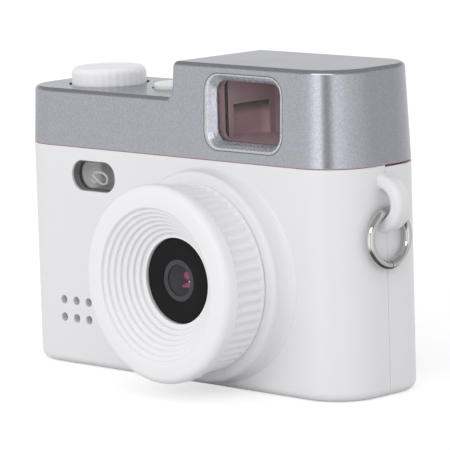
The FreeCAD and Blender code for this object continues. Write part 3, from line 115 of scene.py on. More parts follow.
# Lens in millimetres: radii of the black ring, its hole, the grey mask, its hole and the dome, and heights
BLACK_RADIUS = 7.42
HOLE_RADIUS = 3.65
MASK_RADIUS = 3.66
MASK_HOLE = 2.74
MASK_BACK, MASK_FRONT = -0.9, -0.15
DOME_RADIUS = 2.8
DOME_FRONT, DOME_DROP, DOME_BACK = -0.12, 0.3, -1.2

# Painted reflections on the front lens, pink patches and white glints, in millimetres: across and up from
# the axis, width and height
PINK_REFLECTION_SPOTS = ((2.02, 1.05, 1.0, 0.9), (2.2, -0.62, 1.0, 0.6), (1.2, -0.85, 0.5, 0.3))
WHITE_GLINT_SPOTS = ((2.38, 0.05, 0.22, 0.2), (2.3, 1.4, 0.18, 0.16))

# Mode dial in millimetres: taper of its side, radius and depth of the dish in its top
DIAL_TAPER = 0.14
DISH_RADIUS = 4.2
DISH_DEPTH = 0.08

# Lamp: half of the pane's straight part, its darkening rim, the span over which painted light makes the
# bowl's walls paler, and the bowl's gap and curve
PANE_STRAIGHT = 0.0028
PANE_RIM = (0.0022, 0.0028)
BOWL_PAINTED_LIGHT_SPAN = (0.0022, 0.0034)
BOWL_GAP = 0.0002
BOWL_CURVE = 0.0012

# Painted highlight in the lamp, a bright looped bar shaped like the curl of light seen there, in
# millimetres: radius, depth in the bowl, and points across and up
HIGHLIGHT_RADIUS = 0.22
HIGHLIGHT_DEPTH = 0.9
HIGHLIGHT_LOOP = (
    (-23.1, 34.5), (-22.6, 35.0), (-21.5, 35.15), (-20.3, 35.0), (-19.5, 34.5), (-19.3, 34.0),
    (-19.5, 33.3), (-20.1, 33.0), (-20.8, 33.0), (-21.4, 33.25), (-22.2, 33.9),
)
HIGHLIGHT_HOOK = ((-23.3, 33.6), (-22.9, 33.2), (-22.5, 33.15), (-22.0, 33.5))

# Prints in metres: how far each reaches in and how little it stands out
ARROW_IN, ARROW_OUT = 0.00004, 0.000004
ARROW_RADIUS = 0.0007
SCREEN_IN, SCREEN_OUT = 0.0001, 0.000005
SCREEN_MARGIN = 0.0034
SCREEN_CORNER = 0.0004

# Room's panels that gloss and metal show: turn from the front in degrees, and brightness
PANELS = (
    (-180, 1.0), (-60, 0.88), (-20, 1.0), (-6, 1.55), (8, 1.8), (18, 0.45), (29, 0.45),
    (41, 1.32), (54, 1.28), (72, 1.0), (100, 0.85), (136, 0.64), (180, 0.9),
)
PANEL_TOP = 2.0

# Light above and below the panels, and the heights in degrees where each fades
UPPER_LEVEL = 0.40
LOWER_LEVEL = 0.12
UPPER_FADE = (8, 24)
LOWER_FADE = (-45, -22)

# Floor's own level, and the level and glow with which the eye sees it as white paper
FLOOR_LEVEL = 0.82
PAPER_LEVEL = 0.5
PAPER_GLOW = 0.62

# Key lamp: turn from the front and rise in degrees, distance and size; and what lamp and camera look at
KEY_TURN = 14.0
KEY_RISE = 27.0
KEY_AWAY = 1.0
KEY_SIZE = (1.0, 0.3)
KEY_TARGET = Vector((0, 0, 0.03))
VIEW_TARGET = Vector((0.677, 0.667, 26.2)) * MM


class ShellSettings(bpy.types.PropertyGroup):
    shell_colour: FloatVectorProperty(
        name="Shell colour", description="Moulded colour of the two white covers",
        subtype="COLOR", size=3, min=0, max=1, default=(0.84, 0.84, 0.86))
    silver_colour: FloatVectorProperty(
        name="Silver colour", description="Colour of the metallic paint on the top cover",
        subtype="COLOR", size=3, min=0, max=1, default=(0.418, 0.433, 0.470))
    inner_colour: FloatVectorProperty(
        name="Inner colour", description="Bare plastic under the silver paint",
        subtype="COLOR", size=3, min=0, max=1, default=(0.51, 0.33, 0.37))
    grain: FloatProperty(
        name="Moulding grain", description="Size of the fine spark-eroded grain of the shell",
        unit="LENGTH", min=0.00005, max=0.002, default=0.0003)


class LensSettings(bpy.types.PropertyGroup):
    rib_count: IntProperty(
        name="Ribs", description="Number of grip ribs round the lens ring", min=8, max=120, default=56)
    rib_depth: FloatProperty(
        name="Rib depth", description="Depth of the grooves between the ribs",
        unit="LENGTH", min=0, max=0.001, default=0.0006)
    band_radius: FloatProperty(
        name="Band radius", description="Radius of the ribbed band behind the rim",
        unit="LENGTH", min=0.01, max=0.02, default=0.01642)
    funnel_steps: IntProperty(
        name="Funnel steps", description="Number of steps down to the window", min=3, max=12, default=7)
    step_run: FloatProperty(
        name="Step run", description="Width of one step of the funnel",
        unit="LENGTH", min=0.0002, max=0.002, default=0.0008)
    step_rise: FloatProperty(
        name="Step rise", description="Depth of one step of the funnel",
        unit="LENGTH", min=0.0002, max=0.002, default=0.00077)


class DialSettings(bpy.types.PropertyGroup):
    flutes: IntProperty(
        name="Flutes", description="Number of soft flutes round the mode dial", min=8, max=80, default=32)
    flute_depth: FloatProperty(
        name="Flute depth", description="Depth of the dial's flutes",
        unit="LENGTH", min=0, max=0.001, default=0.00008)
    rounding: FloatProperty(
        name="Rounding", description="Rounding of the dial's upper edge",
        unit="LENGTH", min=0.0001, max=0.0025, default=0.0025)


class StudioSettings(bpy.types.PropertyGroup):
    azimuth: FloatProperty(
        name="Azimuth", description="Camera's turn round the object, from the front",
        subtype="ANGLE", default=math.radians(44.580))
    elevation: FloatProperty(
        name="Elevation", description="Camera's height above the horizon",
        subtype="ANGLE", default=math.radians(8.529))
    roll: FloatProperty(
        name="Roll", description="Camera's turn about its own line of sight",
        subtype="ANGLE", default=math.radians(-1.742))
    distance: FloatProperty(
        name="Distance", description="Camera's distance from its target",
        unit="LENGTH", min=0.1, max=5, default=0.63062)
    lens: FloatProperty(
        name="Focal length", description="Camera's focal length on a 36 mm sensor",
        subtype="DISTANCE_CAMERA", min=20, max=500, default=284.85)
    room_light: FloatProperty(
        name="Room light", description="Strength of the even light from the white room",
        min=0, max=3, default=0.79)
    key_light: FloatProperty(
        name="Key light", description="Power of the wide soft lamp above the camera",
        unit="POWER", min=0, max=100, default=2.4)


def colour4(colour):
    """Colour with its alpha."""
    return (*colour, 1.0) if len(colour) == 3 else tuple(colour)


def surface(name, colour, roughness, **sockets):
    """A material with one Principled shader, and its tree and shader."""
    material = bpy.data.materials.new(name)
    material.use_nodes = True
    tree = material.node_tree
    shader = tree.nodes["Principled BSDF"]
    shader.inputs["Base Color"].default_value = colour4(colour)
    shader.inputs["Roughness"].default_value = roughness
    for key, value in sockets.items():
        shader.inputs[key.replace("_", " ")].default_value = value
    material.diffuse_color = colour4(colour)
    return material, tree, shader


def object_place(tree):
    """Place in the piece's own coordinates, in metres."""
    return tree.nodes.new("ShaderNodeTexCoord").outputs["Object"]


def node(tree, kind, place=None, **values):
    """A shader node with these input values, fed with a place where it takes one."""
    made = tree.nodes.new("ShaderNode" + kind)
    for key, value in values.items():
        made.inputs[key.replace("_", " ")].default_value = value
    if place is not None:
        tree.links.new(place, made.inputs["Vector"])
    return made


def feed(tree, shader, **values):
    """Links values to the shader's sockets of the same names."""
    for key, value in values.items():
        tree.links.new(value, shader.inputs[key.replace("_", " ")])


def axes(tree, place):
    """Coordinates of a place, by X, Y and Z."""
    return node(tree, "SeparateXYZ", place).outputs


def noise(tree, place, size, detail=2.0, roughness=0.5):
    """Noise whose features are about a given size in metres."""
    made = node(tree, "TexNoise", place, Scale=1.0 / size, Detail=detail, Roughness=roughness)
    return made.outputs["Fac"]


def span(tree, value, low, high):
    """Spreads a value from 0..1 to low..high."""
    made = node(tree, "MapRange", To_Min=low, To_Max=high)
    tree.links.new(value, made.inputs["Value"])
    return made.outputs["Result"]


def soft_span(tree, value, start, end, low=0.0, high=1.0):
    """Runs smoothly from low to high while a value goes from start to end."""
    made = node(tree, "MapRange", From_Min=start, From_Max=end, To_Min=low, To_Max=high)
    made.interpolation_type = "SMOOTHSTEP"
    tree.links.new(value, made.inputs["Value"])
    return made.outputs["Result"]


def blend(tree, factor, first, second):
    """Mix of two colours, each a socket or a plain colour."""
    made = node(tree, "Mix")
    made.data_type = "RGBA"
    tree.links.new(factor, made.inputs["Factor"])
    for key, value in (("A", first), ("B", second)):
        if isinstance(value, bpy.types.NodeSocket):
            tree.links.new(value, made.inputs[key])
        else:
            made.inputs[key].default_value = colour4(value)
    return made.outputs["Result"]


def relief(tree, shader, height, strength, depth, base=None):
    """Bump from a height, on top of an earlier one if there is one."""
    made = node(tree, "Bump", Strength=strength, Distance=depth)
    tree.links.new(height, made.inputs["Height"])
    if base is not None:
        tree.links.new(base, made.inputs["Normal"])
    tree.links.new(made.outputs["Normal"], shader.inputs["Normal"])
    return made.outputs["Normal"]


def shade(colour, amount):
    """Darker or paler colour."""
    return tuple(min(1.0, max(0.0, c * amount)) for c in colour[:3])


def plastic(name, colour, roughness, grain=0.0003, strength=0.12, mottle=0.02, wear=0.06, **sockets):
    """Moulded plastic: fine grain, slow colour drift and patches of handling polish."""
    material, tree, shader = surface(name, colour, roughness, **sockets)
    place = object_place(tree)
    drift = noise(tree, place, 0.018, 3.0)
    colours = blend(tree, drift, shade(colour, 1 - mottle), shade(colour, 1 + mottle))
    polish = span(tree, noise(tree, place, 0.006, 4.0, 0.6), roughness - wear, roughness + wear)
    feed(tree, shader, Base_Color=colours, Roughness=polish)
    first = relief(tree, shader, noise(tree, place, grain, 2.0), strength, grain * 0.12)
    relief(tree, shader, noise(tree, place, 0.012, 1.0), 0.08, 0.00008, first)
    return material


def maths(tree, operation, first, second=0.0):
    """Result of a sum or comparison of sockets or numbers."""
    made = node(tree, "Math")
    made.operation = operation
    for socket, value in zip(made.inputs, (first, second)):
        if isinstance(value, (int, float)):
            socket.default_value = value
        else:
            tree.links.new(value, socket)
    return made.outputs["Value"]


def within(tree, place, low, high):
    """1 inside a box of object coordinates; None leaves a side open."""
    places = axes(tree, place)
    inside = 1.0
    for axis, least, most in zip("XYZ", low, high):
        for test, limit in (("GREATER_THAN", least), ("LESS_THAN", most)):
            if limit is not None:
                inside = maths(tree, "MULTIPLY", maths(tree, test, places[axis], limit), inside)
    return inside


def spot(tree, place, centre, size, soft=0.5):
    """1 in an ellipse of the front view, with a soft edge."""
    moved = node(tree, "Mapping", place, Location=centre, Scale=(size[0], 1.0, size[1]))
    moved.vector_type = "TEXTURE"
    reach = node(tree, "VectorMath")
    reach.operation = "LENGTH"
    tree.links.new(moved.outputs["Vector"], reach.inputs[0])
    return soft_span(tree, reach.outputs["Value"], 1.0, 1.0 - soft)


def silver_paint(name, colour, bare, roughness=0.21):
    """Metallic paint with fine flakes, left off inside the viewfinder and on the lower lip."""
    material, tree, shader = surface(name, colour, roughness, Specular_Tint=(0.8, 0.8, 0.82, 1.0))
    place = object_place(tree)
    flakes = node(tree, "TexVoronoi", place, Scale=1.0 / FLAKE)
    flake_tone = node(tree, "SeparateColor")
    tree.links.new(flakes.outputs["Color"], flake_tone.inputs["Color"])
    painted = blend(tree, flake_tone.outputs["Red"], shade(colour, 0.88), shade(colour, 1.12))
    lip = within(tree, place, (None, None, None), (None, None, PAINT_LOW))
    opening = within(
        tree, place, (PANE_LOW.x, PANE_HIGH.y, PANE_LOW.z), (PANE_HIGH.x, EYE_LOW.y, PANE_HIGH.z))
    unpainted = maths(tree, "MAXIMUM", lip, opening)
    cloud = span(tree, noise(tree, place, 0.009, 3.0), roughness - 0.03, roughness + 0.03)
    feed(
        tree, shader,
        Base_Color=blend(tree, unpainted, painted, bare),
        Metallic=span(tree, unpainted, 0.9, 0.0),
        Roughness=maths(tree, "MAXIMUM", cloud, maths(tree, "MULTIPLY", unpainted, 0.45)),
    )
    first = relief(tree, shader, flake_tone.outputs["Green"], 0.12, 0.00001)
    relief(tree, shader, noise(tree, place, 0.0012, 1.0), 0.03, 0.00002, first)
    return material


def metal(name, colour, roughness, scratch=0.05, size=0.0004, **sockets):
    """Plated, coated or bare metal with fine scratches and a patchy polish."""
    material, tree, shader = surface(name, colour, roughness, **{"Metallic": 1.0, **sockets})
    place = object_place(tree)
    patches = noise(tree, place, size * 6, 4.0)
    feed(
        tree, shader,
        Roughness=span(tree, patches, max(0.02, roughness - scratch), roughness + scratch),
        Base_Color=blend(tree, patches, shade(colour, 0.94), shade(colour, 1.05)),
    )
    relief(tree, shader, noise(tree, place, size, 3.0), 0.05, size * 0.05)
    return material


def streaked_metal(name, colour, roughness):
    """Plating over a grained mould, with upright streaks that sparkle."""
    material, tree, shader = surface(name, colour, roughness, Metallic=0.85)
    place = object_place(tree)
    longer = node(tree, "Mapping", place, Scale=(1.0, 1.0, 0.35))
    streaks = noise(tree, longer.outputs["Vector"], 0.0003, 3.0, 0.7)
    feed(
        tree, shader,
        Base_Color=blend(tree, streaks, shade(colour, 0.55), shade(colour, 1.5)),
        Roughness=span(tree, streaks, roughness - 0.05, roughness + 0.15),
    )
    relief(tree, shader, streaks, 0.7, 0.00011)
    return material


def clear(name, colour, roughness, alpha, mirror=0.2):
    """Clear pane: a thin see-through sheet with a polished face and faint moulding waves."""
    material, tree, shader = surface(name, colour, roughness, Alpha=alpha, Specular_IOR_Level=mirror)
    place = object_place(tree)
    smears = noise(tree, place, 0.004, 3.0)
    feed(tree, shader, Roughness=span(tree, smears, max(0.0, roughness - 0.01), roughness + 0.03))
    relief(tree, shader, noise(tree, place, 0.006, 1.0), 0.05, 0.00003)
    return material


def smoked(name, colour, alpha, rim_alpha, middle):
    """Smoked pane that darkens softly towards its rounded rim."""
    material, tree, shader = surface(name, colour, 0.06, Specular_IOR_Level=0.3)
    place = object_place(tree)
    places = axes(tree, place)
    aside = maths(tree, "ABSOLUTE", maths(tree, "SUBTRACT", places["X"], middle.x))
    past = maths(tree, "MAXIMUM", maths(tree, "SUBTRACT", aside, PANE_STRAIGHT), 0.0)
    height = maths(tree, "SUBTRACT", places["Z"], middle.z)
    squares = [maths(tree, "MULTIPLY", way, way) for way in (past, height)]
    reach = maths(tree, "SQRT", maths(tree, "ADD", *squares))
    feed(tree, shader, Alpha=soft_span(tree, reach, *PANE_RIM, alpha, rim_alpha))
    relief(tree, shader, noise(tree, place, 0.006, 1.0), 0.05, 0.00003)
    return material


def glass(name, colour, roughness=0.02, ior=1.52):
    """Optical glass that lets most of the light through."""
    material, tree, shader = surface(name, colour, roughness, IOR=ior, Transmission_Weight=0.85)
    place = object_place(tree)
    relief(tree, shader, noise(tree, place, 0.004, 1.0), 0.03, 0.00002)
    return material


def coated_glass_painted_reflections(name, colour, glow, glint, centre):
    """Dark lens surface with painted reflections: soft pink patches and small white glints."""
    material, tree, shader = surface(name, colour, 0.05, Specular_IOR_Level=0.12)
    place = object_place(tree)
    colours = colour
    for lit, spots in (glow, glint):
        patches = 0.0
        for across, up, wide, high in spots:
            middle = (centre.x + across * MM, centre.y, centre.z + up * MM)
            patches = maths(tree, "MAXIMUM", spot(tree, place, middle, (wide * MM, high * MM)), patches)
        colours = blend(tree, patches, colours, lit)
    feed(tree, shader, Base_Color=colours)
    relief(tree, shader, noise(tree, place, 0.002, 1.0), 0.04, 0.00002)
    return material


def circuit(name, colour, trace):
    """Solder mask with fine copper runs under it."""
    material, tree, shader = surface(name, colour, 0.4)
    place = object_place(tree)
    runs = node(
        tree, "TexBrick", place, Scale=260.0, Mortar_Size=0.03,
        Color1=colour4(colour), Color2=colour4(shade(colour, 1.25)), Mortar=colour4(trace))
    feed(tree, shader, Base_Color=runs.outputs["Color"])
    relief(tree, shader, runs.outputs["Fac"], 0.2, 0.00003)
    return material


def bowl_coating_painted_light(name, colour, wall, middle):
    """Dull bright coating of the lamp's bowl, with painted light making its walls paler than its middle."""
    material, tree, shader = surface(name, colour, 0.5)
    place = object_place(tree)
    aside = maths(tree, "ABSOLUTE", maths(tree, "SUBTRACT", axes(tree, place)["X"], middle.x))
    feed(tree, shader, Base_Color=blend(tree, soft_span(tree, aside, *BOWL_PAINTED_LIGHT_SPAN), colour, wall))
    relief(tree, shader, noise(tree, place, 0.0004, 3.0), 0.05, 0.00002)
    return material


def tunnel_plastic_painted_light_and_shade(name, colour, dark):
    """Bare plastic of the viewfinder's inside, with painted shade in its slit and under its ledge and
    painted light on its recess wall.
    """
    material, tree, shader = surface(name, colour, 0.42)
    place = object_place(tree)
    slit = within(tree, place, (None, PANE_HIGH.y + 0.0001, None), (SLIT_EDGE.x, SLIT_EDGE.y, None))
    recess = within(tree, place, (None, SLIT_EDGE.y, None), (SLIT_EDGE.x, None, None))
    near, far = LEDGE_SHADE
    drop = soft_span(tree, axes(tree, place)["Z"], SLIT_EDGE.z - far, SLIT_EDGE.z - near)
    # Painted shade: dark colour in the slit and in a band under the ledge over the recess
    shadow = maths(tree, "MAXIMUM", slit, maths(tree, "MULTIPLY", recess, drop))
    cloud = noise(tree, place, 0.0025, 2.0)
    bare = blend(tree, cloud, shade(colour, 0.9), shade(colour, 1.12))
    # Painted light: the recess wall 45% paler, as if lit from above
    lit = blend(tree, recess, bare, shade(colour, 1.45))
    feed(tree, shader, Base_Color=blend(tree, shadow, lit, dark))
    relief(tree, shader, noise(tree, place, 0.0002, 2.0), 0.1, 0.00003)
    return material


def film(name, colour):
    """Amber flexible circuit with lengthwise tracks."""
    material, tree, shader = surface(name, colour, 0.32)
    place = object_place(tree)
    tracks = node(tree, "TexWave", place, Scale=420.0, Distortion=0.4)
    feed(tree, shader, Base_Color=blend(tree, tracks.outputs["Fac"], shade(colour, 0.7), shade(colour, 1.3)))
    relief(tree, shader, tracks.outputs["Fac"], 0.15, 0.00002)
    return material


def foam(name, colour):
    """Open-celled foam."""
    material, tree, shader = surface(name, colour, 0.9)
    place = object_place(tree)
    cells = node(tree, "TexVoronoi", place, Scale=1.0 / 0.0003)
    depth = cells.outputs["Distance"]
    feed(tree, shader, Base_Color=blend(tree, depth, shade(colour, 0.5), shade(colour, 1.6)))
    relief(tree, shader, depth, 0.5, 0.0001)
    return material


def paint(piece, material):
    """Gives a piece one material."""
    piece.data.materials.clear()
    piece.data.materials.append(material)


def paint_nodes(material, *names):
    """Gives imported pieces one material."""
    for name in names:
        paint(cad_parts[name], material)


def smooth_step(low, high, value):
    """0 below low, 1 above high, and smooth between them."""
    part = min(1.0, max(0.0, (value - low) / (high - low)))
    return part * part * (3 - 2 * part)


def rounded(corners, parts=5):
    """Outline through corners (across, along, rounding), each rounded by an arc."""
    points = []
    count = len(corners)
    for i, (across, along, rounding) in enumerate(corners):
        here = Vector((across, 0, along))
        if not rounding:
            points.append((across, along))
            continue
        before, after = corners[i - 1], corners[(i + 1) % count]
        to_before = Vector((before[0], 0, before[1])) - here
        to_after = Vector((after[0], 0, after[1])) - here
        one, two = to_before.normalized(), to_after.normalized()
        half = one.angle(two) / 2
        reach = min(rounding / math.tan(half), to_before.length * 0.49, to_after.length * 0.49)
        middle = here + (one + two).normalized() * (reach / math.cos(half))
        first, last = here + one * reach - middle, here + two * reach - middle
        arm = first.length
        first.normalize()
        last.normalize()
        for k in range(parts + 1):
            point = middle + first.slerp(last, k / parts).normalized() * arm
            points.append((point.x, point.z))
    return points


def turned(outline, centre, axis, steps, closed=True):
    """Spins an outline of (radius, along the axis) points, in metres, into a full round body."""
    mesh = bmesh.new()
    out = Vector((1, 0, 0))
    verts = [mesh.verts.new(centre + out * radius + axis * along) for radius, along in outline]
    edges = [mesh.edges.new(pair) for pair in zip(verts, verts[1:])]
    if closed:
        edges.append(mesh.edges.new((verts[-1], verts[0])))
    bmesh.ops.spin(
        mesh, geom=verts + edges, cent=centre, axis=axis, dvec=(0, 0, 0),
        angle=math.tau, steps=steps, use_merge=True, use_duplicate=False)
    return mesh


def cord(points, radius, sides=12, closed=False):
    """Round bar along points."""
    mesh = bmesh.new()
    rings = []
    count = len(points)
    for i, point in enumerate(points):
        before = points[i - 1] if closed or i else point
        after = points[(i + 1) % count] if closed or i < count - 1 else point
        along = (after - before).normalized()
        side = along.cross(Vector((0, 1, 0))).normalized()
        up = side.cross(along)
        turns = [math.tau * k / sides for k in range(sides)]
        ways = [side * math.cos(turn) + up * math.sin(turn) for turn in turns]
        rings.append([mesh.verts.new(point + way * radius) for way in ways])
    pairs = list(zip(rings, rings[1:]))
    if closed:
        pairs.append((rings[-1], rings[0]))
    for one, two in pairs:
        for k in range(sides):
            mesh.faces.new((one[k], one[(k + 1) % sides], two[(k + 1) % sides], two[k]))
    if not closed:
        mesh.faces.new(rings[0])
        mesh.faces.new(rings[-1])
    return mesh


def rounded_box(centre, wide, high, corner, count=9):
    """Points of a rounded rectangle in the front view."""
    points = []
    for k, (right, up) in enumerate(((1, 1), (-1, 1), (-1, -1), (1, -1))):
        x = centre.x + right * (wide / 2 - corner)
        z = centre.z + up * (high / 2 - corner)
        for i in range(count):
            turn = (k + i / (count - 1)) * math.pi / 2
            points.append((x + corner * math.cos(turn), z + corner * math.sin(turn)))
    return points


def skin(loops, closed_back=False):
    """Surface through loops of (x, y, z) points, each loop with the same number of them."""
    mesh = bmesh.new()
    rings = [[mesh.verts.new(point) for point in loop] for loop in loops]
    for one, two in zip(rings, rings[1:]):
        for i in range(len(one)):
            mesh.faces.new((one[i - 1], one[i], two[i], two[i - 1]))
    if closed_back:
        bmesh.ops.contextual_create(mesh, geom=rings[-1])
    return mesh


def plate(outline, back, front):
    """Flat piece over an outline of (x, z) points, extruded from back to front."""
    mesh = bmesh.new()
    face = mesh.faces.new([mesh.verts.new((x, back, z)) for x, z in outline])
    made = bmesh.ops.extrude_face_region(mesh, geom=[face])
    moved = [item for item in made["geom"] if isinstance(item, bmesh.types.BMVert)]
    bmesh.ops.translate(mesh, verts=moved, vec=(0, front - back, 0))
    return mesh


def settle(mesh, name, body, material, smooth=40.0):
    """Turns a bmesh into a finished piece that rides on a body."""
    bmesh.ops.remove_doubles(mesh, verts=mesh.verts, dist=1e-7)
    bmesh.ops.recalc_face_normals(mesh, faces=mesh.faces)
    data = bpy.data.meshes.new(name)
    mesh.to_mesh(data)
    mesh.free()
    piece = bpy.data.objects.new(name, data)
    bpy.context.scene.collection.objects.link(piece)
    for face in data.polygons:
        face.use_smooth = True
    data.set_sharp_from_angle(angle=math.radians(smooth))
    paint(piece, material)
    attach(piece, body)
    return piece


class PartOperator:
    """What all the operators here share."""

    bl_options = {"REGISTER", "UNDO"}


class CAMERA_OT_covers(PartOperator, bpy.types.Operator):
    """Finish the front, rear and top covers"""

    bl_idname = "compact_camera.covers"
    bl_label = "Covers"

    def execute(self, context):
        settings = context.scene.camera_shell
        white = plastic("satin_white_shell", settings.shell_colour, 0.40, settings.grain)
        paint_nodes(white, "front_cover", "rear_cover")
        silver = silver_paint("silver_flake_paint", settings.silver_colour, settings.inner_colour)
        paint_nodes(silver, "top_cover")
        return {"FINISHED"}


class CAMERA_OT_lens_ring(PartOperator, bpy.types.Operator):
    """Turn the ribbed lens ring with its stepped funnel"""

    bl_idname = "compact_camera.lens_ring"
    bl_label = "Lens ring"

    def execute(self, context):
        shell, settings = context.scene.camera_shell, context.scene.camera_lens
        band = settings.band_radius / MM
        corners = [(RING_BORE, RING_BACK, 0), (band, RING_BACK, 0.15)]
        corners += [(band, along, 0) for along in BAND_HEIGHTS]
        corners += [(band, BAND_FRONT, 0.6), (RIM_RADIUS, RIM_BACK, 0.6)]
        corners += [(RIM_RADIUS, RING_HEIGHT, RIM_ROUND), (MOUTH_RADIUS, RING_HEIGHT, 0.35)]
        radius, along = MOUTH_RADIUS, RING_HEIGHT
        for step in range(settings.funnel_steps):
            along -= settings.step_rise / MM
            corners.append((radius, along, 0.2))
            last = step == settings.funnel_steps - 1
            radius = THROAT_RADIUS if last else radius - settings.step_run / MM
            corners.append((radius, along, 0 if last else 0.26))
        corners += [(radius, along - WEB, 0), (RING_BORE, along - WEB, 0)]
        outline = [(across * MM, up * MM) for across, up in rounded(corners)]
        face = Vector((LENS.x, RING_LOW.y + RING_HEIGHT * MM, LENS.z))
        mesh = turned(outline, face, FORWARD, settings.rib_count * WAVE_PARTS)
        for vert in mesh.verts:
            self.groove(vert, face, band, settings)
        # Painted light: the ring's white is 8% paler than the shell's, standing in for light bouncing round
        # the funnel
        ring = plastic("satin_white_ring_painted_light", shade(shell.shell_colour, 1.08), 0.42, shell.grain)
        piece = settle(mesh, "ribbed_lens_ring", "lens_ring", ring, 60.0)
        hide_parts("lens_ring")
        return {"FINISHED"}

    def groove(self, vert, face, band, settings):
        """Moves a point of the outside inwards between the ribs."""
        off = vert.co - face
        along = -off.y / MM
        radius = math.hypot(off.x, off.z)
        if radius / MM < band - 0.5:
            return
        ends = smooth_step(*GROOVE_START, along) * (1 - smooth_step(*GROOVE_END, along))
        wave = 1 - smooth_step(*RIB_FLANK, math.cos(settings.rib_count * math.atan2(off.x, off.z)))
        smaller = (radius - settings.rib_depth * ends * wave) / radius
        vert.co.x, vert.co.z = face.x + off.x * smaller, face.z + off.z * smaller


class CAMERA_OT_lens(PartOperator, bpy.types.Operator):
    """Make the black window ring, its grey mask and the coated front lens"""

    bl_idname = "compact_camera.lens"
    bl_label = "Lens"

    def execute(self, context):
        face = Vector((LENS.x, WINDOW_LOW.y, LENS.z))
        thick = (WINDOW_HIGH.y - WINDOW_LOW.y) / MM
        black = plastic(
            "black_window_ring", (0.006, 0.0062, 0.0065), 0.3, 0.0002, 0.05, Specular_IOR_Level=0.12)
        corners = [(HOLE_RADIUS, -thick, 0), (HOLE_RADIUS, 0, 0.1)]
        corners += [(BLACK_RADIUS, 0, 0.3), (BLACK_RADIUS, -thick, 0)]
        self.round_piece(
            "black_window_ring", corners, face, "camera_body", "black_plastic", black, "lens_window")
        grey = plastic("grey_lens_mask", (0.075, 0.075, 0.085), 0.45, 0.0002, 0.1, Specular_IOR_Level=0.1)
        corners = [(MASK_HOLE, MASK_BACK, 0), (MASK_HOLE, MASK_FRONT, 0.05)]
        corners += [(MASK_RADIUS, MASK_FRONT, 0), (MASK_RADIUS, MASK_BACK, 0)]
        self.round_piece("lens_mask", corners, face, "camera_body", "dark_plastic", grey)
        # Painted reflections: pink patches and white glints on the front lens
        glow = ((0.34, 0.08, 0.17), PINK_REFLECTION_SPOTS)
        glint = ((0.6, 0.62, 0.62), WHITE_GLINT_SPOTS)
        coated = coated_glass_painted_reflections("coated_front_lens_painted_reflections", (0.042, 0.039, 0.048), glow, glint, face)
        dome = [(DOME_RADIUS * k / 8, DOME_FRONT - DOME_DROP * (k / 8) ** 2) for k in range(9)]
        dome += [(DOME_RADIUS, DOME_BACK), (0, DOME_BACK)]
        self.round_piece(
            "domed_front_lens", dome, face, "lens_ring", "lens_glass", coated, "front_lens", False)
        paint_nodes(clear("clear_lens_cover", (0.08, 0.08, 0.08), 0.02, 0.04, 0.08), "lens_glass")
        paint_nodes(plastic("grey_cell_plastic", (0.085, 0.085, 0.092), 0.4, 0.0002, 0.15), "lens_cell")
        black = plastic("black_holder_plastic", (0.02, 0.02, 0.02), 0.5)
        paint_nodes(black, "lens_holder", "sensor_housing")
        paint_nodes(glass("lens_element_glass", (0.8, 0.78, 0.82)), "middle_lens", "rear_lens")
        paint_nodes(glass("infrared_filter_glass", (0.3, 0.6, 0.65), 0.03), "infrared_filter")
        return {"FINISHED"}

    def round_piece(self, name, corners, face, body, slot, material, stands_for=None, closed=True):
        """Turned piece about the lens axis, from (radius, forward, rounding) in millimetres."""
        outline = rounded(corners) if closed else corners
        mesh = turned([(a * MM, b * MM) for a, b in outline], face, FORWARD, 128, closed)
        piece = settle(mesh, name, body, material, 50.0)
        if stands_for:
            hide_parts(stands_for)


class CAMERA_OT_dial(PartOperator, bpy.types.Operator):
    """Turn the mode dial with its soft flutes"""

    bl_idname = "compact_camera.dial"
    bl_label = "Mode dial"

    def execute(self, context):
        settings = context.scene.camera_dial
        foot = Vector((DIAL.x, DIAL.y, DIAL_LOW.z))
        radius = (DIAL_HIGH.x - DIAL_LOW.x) / 2
        wide, height = radius / MM, (DIAL_HIGH.z - DIAL_LOW.z) / MM
        dish = height - DISH_DEPTH
        corners = [(0, 0, 0), (wide, 0, 0.1)]
        corners += [(wide - DIAL_TAPER * k / 4, height * k / 7, 0) for k in (1, 2, 3)]
        corners += [(wide - DIAL_TAPER, height, settings.rounding / MM), (DISH_RADIUS + 0.1, height, 0.1)]
        corners += [(DISH_RADIUS, dish, 0.1), (0, dish, 0)]
        outline = [(across * MM, up * MM) for across, up in rounded(corners, 8)]
        mesh = turned(outline, foot, UPWARD, settings.flutes * WAVE_PARTS, False)
        for vert in mesh.verts:
            off = vert.co - foot
            reach = math.hypot(off.x, off.y)
            if reach < radius * 0.7:
                continue
            wave = 0.5 - 0.5 * math.cos(settings.flutes * math.atan2(off.x, off.y))
            ends = smooth_step(radius * 0.86, radius * 0.99, reach)
            smaller = (reach - settings.flute_depth * wave * ends) / reach
            vert.co.x, vert.co.y = foot.x + off.x * smaller, foot.y + off.y * smaller
        colour = context.scene.camera_shell.shell_colour
        # Painted light: the dial's white is 12% paler than the shell's, lifting its shaded side
        white = plastic("white_dial_painted_light", shade(colour, 1.12), 0.34, 0.0002, 0.06)
        piece = settle(mesh, "fluted_mode_dial", "mode_dial", white, 50.0)
        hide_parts("mode_dial")
        return {"FINISHED"}


